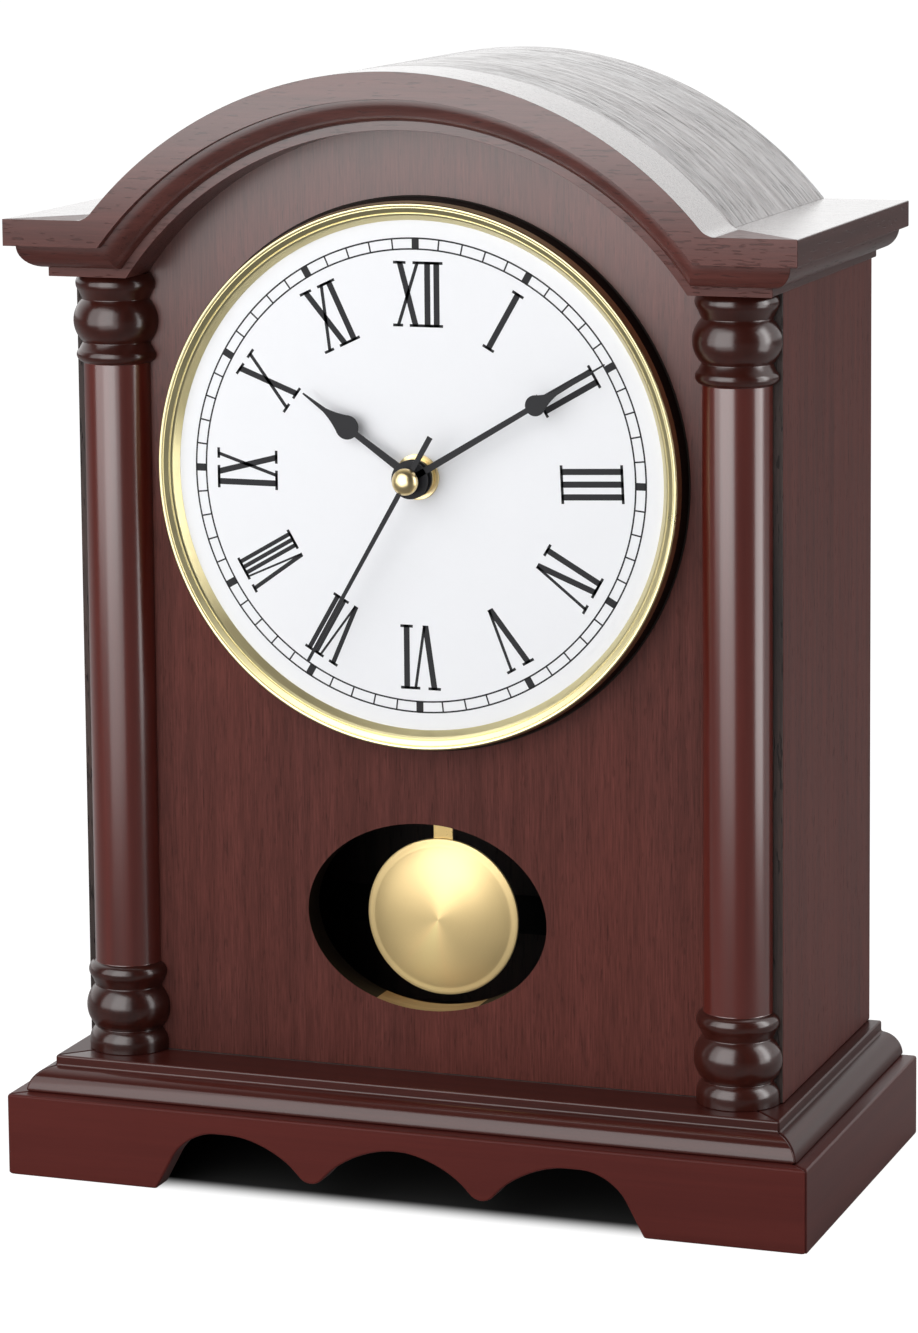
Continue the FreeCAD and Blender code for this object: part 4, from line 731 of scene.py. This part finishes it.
# %% Crown board
BAND, LEDGE_IN, COVE, QUIRK, LIP, DEPTH = 7.3, 2.6, 6.2, 0.4, 2.5, 24.1
CROWN_Y, CROWN_HALF, WING, HOLLOW = -55.6, 111.2, 60, 2.4
MITRE_HIGH, MITRE_LOW = (86.93, 71.1), (83.4, 63.8)
TOP_FACES_FROM = 60
band_in = ARCH_R - BAND
round_in = band_in - COVE
bend = COVE * (1 - SLOPE)
section = Pen(ARCH_R, 0).line((band_in, 0), (band_in, LEDGE_IN))
section.arc((band_in - COVE + bend, LEDGE_IN + bend), (round_in, LEDGE_IN + COVE), 10)
section.line((round_in, LEDGE_IN + COVE + QUIRK), (round_in - LIP, LEDGE_IN + COVE + QUIRK),
             (round_in - LIP, DEPTH), (ARCH_R, DEPTH))
crown = moved(turned(section.close(), -math.pi, 120), turn=ALONG_Y)
for side, _ in SIDES:
    away = (side * (MITRE_HIGH[1] - MITRE_LOW[1]), 0, MITRE_LOW[0] - MITRE_HIGH[0])
    rim = sawn(crown, (side * MITRE_HIGH[0], 0, MITRE_HIGH[1]), away, cap=False)
    spring = [edge for edge in rim if all(abs(math.hypot(v.co.x, v.co.z) - ARCH_R) < 0.2 for v in edge.verts)]
    wing = bmesh.ops.extrude_edge_only(crown, edges=rim)["geom"]
    bmesh.ops.translate(crown, verts=verts_in(wing), vec=(side * WING, 0, 0))
    bmesh.ops.bevel(crown, geom=spring, offset=HOLLOW, offset_type="OFFSET", segments=8, profile=0.5,
                    affect="EDGES", material=-1)
crown = mitred(moved(tidy(crown), y=CROWN_Y, z=ARCH_Z), CROWN_HALF, CROWN_Y)


def on_top(spot, normal):
    """Whether a face of the crown looks away from the arch and up, and so gets the painted sheen."""
    outward = Vector((spot.x, 0, max(spot.z - ARCH_Z, TOP_FACES_FROM))).normalized()
    return normal.dot(outward) > 0.6 and normal.z > 0.1


finished("crown_board", parted(crown, on_top), [crown_wood, painted_sheen_top], "arch_front_board",
         round_edge=0.9)

# %% Side lengths of the crown
CROWN_LOW, CLIP_IN, CROWN_IN = 249.6, 10.5, 29.5


def crown_section():
    """The wing's section, outer edge at zero and towards -X, with its underside at zero."""
    drop = COVE + LIP
    pen = Pen(0, drop + BAND).line((0, drop), (LEDGE_IN, drop))
    pen.arc((LEDGE_IN + bend, LIP + bend), (LEDGE_IN + COVE, LIP), 10)
    pen.line((LEDGE_IN + COVE + QUIRK, LIP), (LEDGE_IN + COVE + QUIRK, 0), (CLIP_IN, 0), (CLIP_IN, drop))
    return pen.line((CROWN_IN, drop), (CROWN_IN, drop + BAND)).close()


for side, word in SIDES:
    strip = side_strip(crown_section(), side, CROWN_HALF, CROWN_Y, CROWN_LOW)
    # The faces that look up get the painted sheen.
    strip = parted(strip, lambda spot, normal: normal.z > 0.9)
    finished(f"{word}_crown_moulding", strip, [return_wood, painted_sheen_top],
             f"crown_moulding_{word}", round_edge=0.5)

# %% [markdown]
# ## The bent roof
# The roof is a thin board bent over the arch behind the crown board. A rectangle spun half a turn gives it,
# and one cut level with the wings trims both feet.

# %% Roof
roof = turned(ring_outline(ROOF_IN, ARCH_R, 0, BACK - PANEL_Y), -math.pi, 160)
roof = moved(roof, y=PANEL_Y, z=ARCH_Z, turn=ALONG_Y)
roof = sawn(roof, (0, 0, CROWN_TOP), (0, 0, -1))
finished("bent_roof", roof, roof_wood, "arched_roof", round_edge=0.5)

# %% [markdown]
# ## The columns
# Each column is a split turning: a spindle turned on the lathe, sawn down the middle and glued to the
# front. So the profile is spun half a turn, and the open back is filled with one face. Heights are above
# the shelf. The balls and beads at both ends are darker than the shaft.

# %% Half columns
NECK, DISC, BALL, SHAFT, COLUMN_X = 9.6, 11.4, 12.1, 9.5, 88.4
foot, ball, bead, top = 6.2, 18.0, 24.8, 217.5
head, high_ball, high_bead = top - 7.3, top - 19.1, top - 24.7


def column_outline():
    """The spindle's outline from the foot up: disc, ball, bead, shaft, bead, ball and disc."""
    pen = Pen(0, 0).line((DISC, 0), (DISC, 2.4)).arc((DISC - 0.45, 4.5), (NECK, foot), 8)
    pen.arc((BALL, (foot + ball) / 2), (NECK, ball), 16)
    pen.line((NECK + 1.05, ball + 2.4)).arc((DISC, bead - 2.6), (DISC - 0.35, bead - 1.2), 8)
    pen.arc((DISC - 0.9, bead - 0.5), (SHAFT, bead), 8).line((SHAFT, high_bead))
    pen.arc((DISC - 0.9, high_bead + 0.4), (DISC - 0.35, high_bead + 1.0), 8)
    pen.arc((DISC, high_bead + 2.1), (NECK + 1.05, high_ball - 2.0), 8).line((NECK, high_ball))
    pen.arc((BALL, (high_ball + head) / 2), (NECK, head), 16).line((NECK + 1.1, head + 2.4))
    return pen.arc((DISC, top - 2.9), (DISC - 0.6, top - 1.2), 8).line((DISC - 1.3, top)).mesh


for side, word in SIDES:
    column = turned(column_outline(), -math.pi, 64)
    bmesh.ops.edgeloop_fill(column, edges=[edge for edge in column.edges if edge.is_boundary])
    column = moved(tidy(column), side * COLUMN_X, PANEL_Y, SHELF_Z)
    column = parted(column, lambda spot, normal: not bead < spot.z - SHELF_Z < high_bead)
    finished(f"{word}_half_column", column, [turned_wood, bead_wood], f"column_{word}",
             round_edge=0.3)

# %% [markdown]
# ## The bezel, the ring and the dial
# These are turned about one axis that looks out of the front, each drawn as radius and depth. The bezel's
# outer wall stands in the shadow of its rim and is painted dark, a painted shade and reflection of the dark
# board beside it, and a thin black ring round its foot is a painted shadow where it meets the board.

# %% Bezel and inner ring
DIAL_Y, DIAL_R, BORE = -34.9, 71.9, 4.25
WALL_DEEP = PANEL_Y - 4.5
ring_front = DIAL_Y - 2.1
rise = PANEL_Y - 7.4
bezel = Pen(72.0, PANEL_Y).line((74.9, PANEL_Y), (74.9, PANEL_Y - 1.2), (74.3, WALL_DEEP), (73.9, rise + 0.6))
bezel.arc((73.75, rise + 0.12), (73.3, rise), 5)
bezel.line((72.95, rise + 0.15), (72.8, rise + 0.5), (72.6, rise + 0.45), (71.35, rise + 1.15),
           (71.2, rise + 1.5), (71.0, rise + 1.4), (70.5, rise + 1.75), (70.5, ring_front - 0.05),
           (72.0, ring_front - 0.05))


def on_wall(spot, normal):
    """Whether a face of the bezel is part of its outer wall, which is painted dark as shade."""
    outward = Vector((spot.x, 0, spot.z - DIAL_Z)).normalized()
    return normal.dot(outward) > 0.8 and spot.y > WALL_DEEP


bezel = parted(facing_front(bezel.close(), 192, z=DIAL_Z), on_wall)
finished("brass_bezel", bezel, [bezel_brass, bezel_shade], "bezel", round_edge=0.12)
# The black ring round the bezel's foot is a painted shadow.
shadow_ring = Pen(74.5, PANEL_Y).line((75.4, PANEL_Y), (75.3, PANEL_Y - 0.15), (74.5, PANEL_Y - 0.15)).close()
finished("bezel_shadow_ring", facing_front(shadow_ring, 192, z=DIAL_Z), bezel_shade, round_edge=0)
ring = Pen(69.0, DIAL_Y).line((70.5, ring_front), (DIAL_R, ring_front), (DIAL_R, DIAL_Y)).close()
finished("gold_ring", facing_front(ring, 192, z=DIAL_Z), bezel_brass, "rehaut_ring",
         round_edge=0.1)

# %% Dial disc
disc = ring_outline(BORE, DIAL_R, DIAL_Y, DIAL_Y + 0.8)
finished("dial_disc", facing_front(disc, 160, z=DIAL_Z), dial_white, "dial_plate",
         round_edge=0.05)

# %% [markdown]
# ## The print on the dial
# Screen printing leaves a thin film of ink, so the track and the numbers are real meshes. Every number
# stands with its feet to the centre. Its strokes are bars between the foot line and the head line: heavy
# where a pen would press, hair thin elsewhere, with a slab serif across each end.

# %% Ink strokes
INK, FOOT, HEAD, HEAVY, HAIR = 0.04, 40.4, 58.0, 1.65, 0.5
SERIF_HIGH, SERIF_OUT = 0.75, 0.95


def bar(foot_x, head_x, width, low=FOOT, high=HEAD):
    """One stroke, from its foot to its head, in the upright position of twelve."""
    half = width / 2
    pen = Pen(foot_x - half, low).line((foot_x + half, low), (head_x + half, high), (head_x - half, high))
    return pulled(pen.close(), (0, -INK, 0))


def serif(x, low, width):
    """A slab serif centred on a stroke's end."""
    return bar(x, x, width + 2 * SERIF_OUT, low, low + SERIF_HIGH)


def stroke(foot_x, head_x, width, footed=True):
    """A stroke with its serifs."""
    shapes = [bar(foot_x, head_x, width), serif(head_x, HEAD - SERIF_HIGH, width)]
    return shapes + [serif(foot_x, FOOT, width)] * footed


def letter(kind, x):
    """The strokes of one letter about its middle."""
    if kind == "I":
        return stroke(x, x, HEAVY)
    if kind == "X":
        return stroke(x + 2.2, x - 2.4, HEAVY) + stroke(x - 2.9, x + 2.8, HAIR + 0.45)
    return stroke(x, x - 2.5, HEAVY, False) + stroke(x + 0.3, x + 3.0, HAIR + 0.3, False)


# %% Numbers and minute track
NUMBERS = [("I", (0,)), ("II", (-1.6, 1.6)), ("III", (-3.4, 0, 3.4)), ("IV", (-2.55, 2.56)), ("V", (0,)),
           ("VI", (-1.8, 3.6)), ("VII", (-3.2, 1.6, 4.4)), ("VIII", (-4.2, 0.4, 2.9, 5.4)),
           ("IX", (-3.6, 1.4)), ("X", (-0.2,)), ("XI", (-1.4, 3.6)), ("XII", (-2.2, 3.3, 5.9))]
LEANS = {3: -2.5, 10: 5.9, 11: 4.7}
SQUEEZES = {7: 0.78, 8: 0.68}
MIDDLE = 49
TRACK_IN, TRACK_OUT, LINE_HALF, MINUTE_MARK, HOUR_MARK = 61.3, 64.2, 0.22, 0.42, 2.0
print_shapes = []
for hour, (letters, places) in enumerate(NUMBERS, 1):
    for kind, x in zip(letters, places):
        for shape in letter(kind, x):
            shape.transform(Matrix.Diagonal((SQUEEZES.get(hour, 1), 1, 1, 1)))
            moved(shape, z=-MIDDLE).transform(rotation(LEANS.get(hour, 0), "Y"))
            moved(shape, z=MIDDLE).transform(rotation(30 * hour, "Y"))
            print_shapes.append(shape)
for radius in (TRACK_IN, TRACK_OUT):
    line = ring_outline(radius - LINE_HALF, radius + LINE_HALF, 0, -INK)
    print_shapes.append(facing_front(line, 192))
for minute in range(60):
    mark = bar(0, 0, MINUTE_MARK if minute % 5 else HOUR_MARK, TRACK_IN, TRACK_OUT)
    mark.transform(rotation(6 * minute, "Y"))
    print_shapes.append(mark)
finished("dial_print", moved(joined(print_shapes), y=DIAL_Y, z=DIAL_Z), ink, round_edge=0)

# %% [markdown]
# ## The hands
# The hands are stamped from thin sheet. Half of each blade is drawn, from the hub along the bar, round the
# bulb and in a hollow sweep to the point, and mirror makes the other half.

# %% Hour and minute hand
SHEET, POINT_HALF, ON_AXIS = 0.5, 0.2, 0.001


def blade(reach, bulb, spade, wide, narrow):
    """Half a blade at twelve o'clock, mirrored and pulled to the sheet's thickness."""
    join = bulb - math.sqrt(spade ** 2 - narrow ** 2)
    pen = Pen(0, 0).line((wide, 0), (narrow, join))
    pen.arc((spade, bulb), (spade * 0.8, bulb + spade * 0.6), 10)
    pen.arc((spade * 0.42, bulb + spade * 1.5), (narrow * 0.75, bulb + spade * 2.4), 8)
    mesh = pen.line((POINT_HALF, reach), (0, reach)).close()
    bmesh.ops.edgeloop_fill(mesh, edges=mesh.edges)
    bmesh.ops.mirror(mesh, geom=mesh.verts[:] + mesh.edges[:] + mesh.faces[:], merge_dist=ON_AXIS, axis="X")
    middle = [edge for edge in mesh.edges if all(abs(vert.co.x) < ON_AXIS for vert in edge.verts)]
    bmesh.ops.dissolve_edges(mesh, edges=middle)
    return thicken(mesh, (0, SHEET, 0))


def hub(radius, front, depth, bore):
    """A flat boss round the shaft."""
    return facing_front(ring_outline(bore, radius, front, front + depth), 64)


# Depth, reach, the spade's place and radius, angle shown, the hub's bore, half widths at hub and spade
HANDS = {"hour": (-38.7, 38.2, 22.9, 3.3, 304.9, 3.05, 1.15, 0.8),
         "minute": (-41.2, 63.9, 41.4, 2.8, 59.0, 2.05, 0.95, 0.75)}
for word, (y, reach, bulb, spade, shown, bore, wide, narrow) in HANDS.items():
    hand = joined([blade(reach, bulb, spade, wide, narrow), hub(5.2, 0, SHEET, bore)])
    hand = moved(hand, y=y, z=DIAL_Z, turn=rotation(shown, "Y"))
    finished(f"{word}_hand_blade", hand, hand_black, f"{word}_hand", word, 0.08)

# %% Second hand, cap and nut
SECOND_Y, SECOND_SHOWN, TAIL, SECOND_REACH, TAIL_HALF, TIP_HALF = -44.1, 209.8, -14.0, 57.8, 0.75, 0.42
pen = Pen(TAIL_HALF, TAIL).line((TIP_HALF, SECOND_REACH), (-TIP_HALF, SECOND_REACH), (-TAIL_HALF, TAIL))
needle = joined([pulled(pen.close(), (0, SHEET, 0)), hub(3.3, 0, SHEET, 0.8)])
needle = moved(needle, y=SECOND_Y, z=DIAL_Z, turn=rotation(SECOND_SHOWN, "Y"))
finished("second_hand_blade", needle, hand_black, "second_hand", "second", 0.06)
cap = Pen(0, 0).line((3.6, 0), (3.6, -1.0)).arc((2.4, -2.35), (0, -2.9), 12)
finished("second_hand_dome", facing_front(cap.mesh, 64, SECOND_Y, DIAL_Z), cap_brass,
         "second_hand_cap", "second", 0.1)
nut = joined([hub(6.2, DIAL_Y - 0.6, 0.6, BORE), hub(5.2, DIAL_Y - 2.2, 1.6, BORE)])
finished("shaft_nut", moved(nut, z=DIAL_Z), cap_brass, "dial_nut", round_edge=0.15)

# %% [markdown]
# ## The pendulum
# The bob is a shallow dome of brass with a flat rim. The rod is a flat strip that hides behind the front
# panel and shows only as a short tab above the bob.

# %% Bob and rod
BOB_R, BOB_Y = 21.9, -17.7
bob = Pen(0, 0).line((BOB_R, 0), (BOB_R, -0.8), (BOB_R - 0.8, -1.1), (BOB_R - 1.6, -1.0))
bob.arc((12, -3.5), (0, -4.8), 24)
finished("pendulum_disc", facing_front(bob.mesh, 128, BOB_Y, BOB_Z), bob_brass,
         "pendulum_bob", "pendulum", 0.15)
finished("pendulum_strip", block("pendulum_rod"), plain_brass, "pendulum_rod", "pendulum",
         0.1)

# %% [markdown]
# ## The pieces that keep their CAD shape
# The back, the hinges and the movement are right as they come from the CAD model, and only need a finish in
# the material slot of each node.

# %% Finishes for the CAD nodes
FINISHES = {
    inner_wood: ["back_panel", "back_door"],
    plain_brass: ["door_hinge_leaves_case", "door_hinge_leaves_door", "door_hinge_pins", "door_knob"],
    steel: ["case_screws", "door_screws", "insert_clamp_screws", "strike_plate", "battery_contacts", "stator",
            "pendulum_hanger", "insert_clamps"],
    pan_steel: ["dial_pan"],
    catch_white: ["magnet_catch"],
    movement_black: ["movement_front_shell", "movement_back_cover"],
    gear_white: ["train_bridge", "minute_tube", "motion_wheel", "hour_wheel", "setting_knob", "third_wheel",
                 "centre_wheel", "seconds_wheel", "intermediate_wheel", "rotor"],
    cell_blue: ["battery"],
    board_green: ["circuit_board"],
    copper: ["drive_coil", "pendulum_coil"],
}
for stain, names in FINISHES.items():
    for name in names:
        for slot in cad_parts[name].material_slots:
            slot.material = stain
print("finished nodes:", sum(len(names) for names in FINISHES.values()))

# %% [markdown]
# ## Black strips for shade
# Black strips inside the back panel cover the gap round the door, so that no daylight shows through the
# window: dark sheets put there as painted shade. The left one leaves a gap where the magnet catch sits.

# %% Shade strips
SHADE_STRIP_IN, SHADE_STRIP_OUT, SHADE_STRIP_LOW, SHADE_STRIP_HIGH, CATCH_LOW, CATCH_HIGH = 55.5, 70, 56, 232, 130, 158
SHADE_STRIP_FRONT, SHADE_STRIP_BACK = 39.1, 39.9
# Painted shade: a black, dull finish for the strips behind the window.
shade_strip_black = plain("black shade strip", (0.006, 0.006, 0.006), size=0.3, amount=0.6, roughness=0.95, relief=0.1)
strips = [(-SHADE_STRIP_OUT, -SHADE_STRIP_IN, SHADE_STRIP_LOW, CATCH_LOW), (-SHADE_STRIP_OUT, -SHADE_STRIP_IN, CATCH_HIGH, SHADE_STRIP_HIGH),
          (SHADE_STRIP_IN, SHADE_STRIP_OUT, SHADE_STRIP_LOW, SHADE_STRIP_HIGH), (-SHADE_STRIP_IN, SHADE_STRIP_IN, SHADE_STRIP_LOW - 2, SHADE_STRIP_LOW + 9),
          (-SHADE_STRIP_IN, SHADE_STRIP_IN, SHADE_STRIP_HIGH - 9, SHADE_STRIP_HIGH + 2)]
shade_strip_mesh = joined([cuboid(Vector((x_low, SHADE_STRIP_FRONT, low)), Vector((x_high, SHADE_STRIP_BACK, high)))
               for x_low, x_high, low, high in strips])
finished("black_shade_strips", shade_strip_mesh, shade_strip_black, round_edge=0)

# %% [markdown]
# ## The studio
# The floor is a wide pale plane, which keeps the clock's soft shadow, and for the camera both floor and air
# come out white by Light Path. Under the clock the floor's colour is painted dark, a painted shadow where
# little light gets. Gloss needs something to reflect: white all round the back, a dimmer room on the
# camera's side, and two lamps that only gloss sees, which draw the bands on the columns.

# %% Floor
# The second colour is the painted shadow on the floor under the clock.
OPEN_FLOOR, SHADOW_FLOOR_PAINT, LIGHT = (0.9, 0.9, 0.9, 1), (0.009, 0.0095, 0.009, 1), (1, 1, 1, 1)
FLOOR_WHITE, FLOOR_SHARE, DIM_ROOM = 1.25, 0.8, 0.12
floor_mesh = bmesh.new()
bmesh.ops.create_grid(floor_mesh, x_segments=1, y_segments=1, size=20)
floor = added("studio_floor", stored("studio_floor", floor_mesh))
paper, tree, principled = new_material("white paper", Roughness=0.9)
_, times, less = sums(tree)
spot = wire(tree, "SeparateXYZ", Vector=spot_on_piece(tree)).outputs
# Painted shadow: inside the plinth's footprint the floor turns dark and keeps no white for the camera.
inside_x = ramped(tree, maths(tree, "ABSOLUTE", spot[0]), 0.112, 0.106)
inside_y = times(ramped(tree, spot[1], -0.06, -0.046), ramped(tree, spot[1], 0.06, 0.05))
under = times(inside_x, inside_y)
tree.links.new(blended(tree, under, OPEN_FLOOR, SHADOW_FLOOR_PAINT), principled.inputs["Base Color"])
seen = wire(tree, "Emission", {"Color": LIGHT, "Strength": FLOOR_WHITE}).outputs[0]
dim = wire(tree, "Emission", {"Color": LIGHT, "Strength": DIM_ROOM}).outputs[0]
path = wire(tree, "LightPath").outputs
for_camera = times(times(path["Is Camera Ray"], FLOOR_SHARE), less(1.0, under))
for_gloss = times(path["Is Glossy Ray"], ramped(tree, spot[1], 0.3, -0.3))
surface = wire(tree, "MixShader", _0=for_camera, _1=principled.outputs[0], _2=seen).outputs[0]
surface = wire(tree, "MixShader", _0=for_gloss, _1=surface, _2=dim).outputs[0]
tree.links.new(surface, tree.nodes["Material Output"].inputs["Surface"])
floor.data.materials.append(paper)

# %% Air
DIFFUSE_AIR, GLOSS_AHEAD, GLOSS_BEHIND = 0.15, 0.02, 1.28
world = bpy.data.worlds.new("studio air")
scene.world = world
world.use_nodes = True
tree = world.node_tree
add, times, _ = sums(tree)
way = wire(tree, "SeparateXYZ", Vector=wire(tree, "TexCoord").outputs["Generated"]).outputs
glossy = add(GLOSS_AHEAD, times(ramped(tree, way[1], -0.35, 0.35), GLOSS_BEHIND))
path = wire(tree, "LightPath").outputs
reflected = add(times(path["Is Diffuse Ray"], DIFFUSE_AIR), times(path["Is Glossy Ray"], glossy))
straight = maths(tree, "MAXIMUM", path["Is Camera Ray"], path["Is Transmission Ray"])
background = tree.nodes["Background"]
tree.links.new(maths(tree, "MAXIMUM", reflected, straight), background.inputs["Strength"])
background.inputs["Color"].default_value = LIGHT


# %% Lamps
def soft_box(name, place, target, width, height, radiance, gloss_only=False):
    """A rectangular lamp of an even brightness at a place, turned to a target."""
    lamp = bpy.data.lights.new(name, "AREA")
    lamp.shape = "RECTANGLE"
    lamp.size, lamp.size_y = width, height
    lamp.energy = radiance * width * height * math.pi
    holder = added(name, lamp)
    holder.location = place
    holder.rotation_euler = (Vector(target) - Vector(place)).to_track_quat("-Z", "Y").to_euler()
    holder.visible_diffuse = not gloss_only
    holder.visible_camera = False


soft_box("key_box", (-0.42, -0.8, 0.62), (0, 0.1, 0.62), 1.2, 1.2, 2.25)
soft_box("low_gloss", (-0.09, -0.5, 0.31), (0, 0, 0.31), 0.46, 0.62, 1.35, gloss_only=True)
soft_box("right_gloss", (0.55, -0.07, 0.3), (0, -0.07, 0.3), 0.24, 0.6, 3.0, gloss_only=True)
soft_box("side_box", (1.2, 0.1, 0.6), (0, 0.0, 0.2), 0.4, 1.1, 2.8)
soft_box("top_box", (0.0, 0.2, 1.4), (0, 0, 0.15), 1.0, 0.8, 1.25)

# %% [markdown]
# ## The camera
# The camera stands to the right of the clock and a little above it, with a long lens. It looks down only a
# few degrees, and the frame is shifted down instead, so the uprights stay upright.

# %% Camera
STAND, YAW, PITCH, ROLL = (0.43074, -1.19104, 0.38402), 19.91, 7.68, -0.52
FRAME_HEIGHT, LENS_PIXELS, MIDDLE_ROW, SENSOR = 1333, 4657.88, 400, 36
lens = bpy.data.cameras.new("studio_camera")
lens.lens = LENS_PIXELS * SENSOR / FRAME_HEIGHT
lens.shift_y = -(FRAME_HEIGHT / 2 - MIDDLE_ROW) / FRAME_HEIGHT
lens.clip_end = 50
camera = added("studio_camera", lens)
aim = rotation(YAW, "Z") @ rotation(90 - PITCH, "X") @ rotation(ROLL, "Z")
camera.matrix_world = Matrix.Translation(STAND) @ aim
scene.camera = camera
scene.view_settings.view_transform = "Standard"
print("lens:", round(lens.lens, 1), "mm")
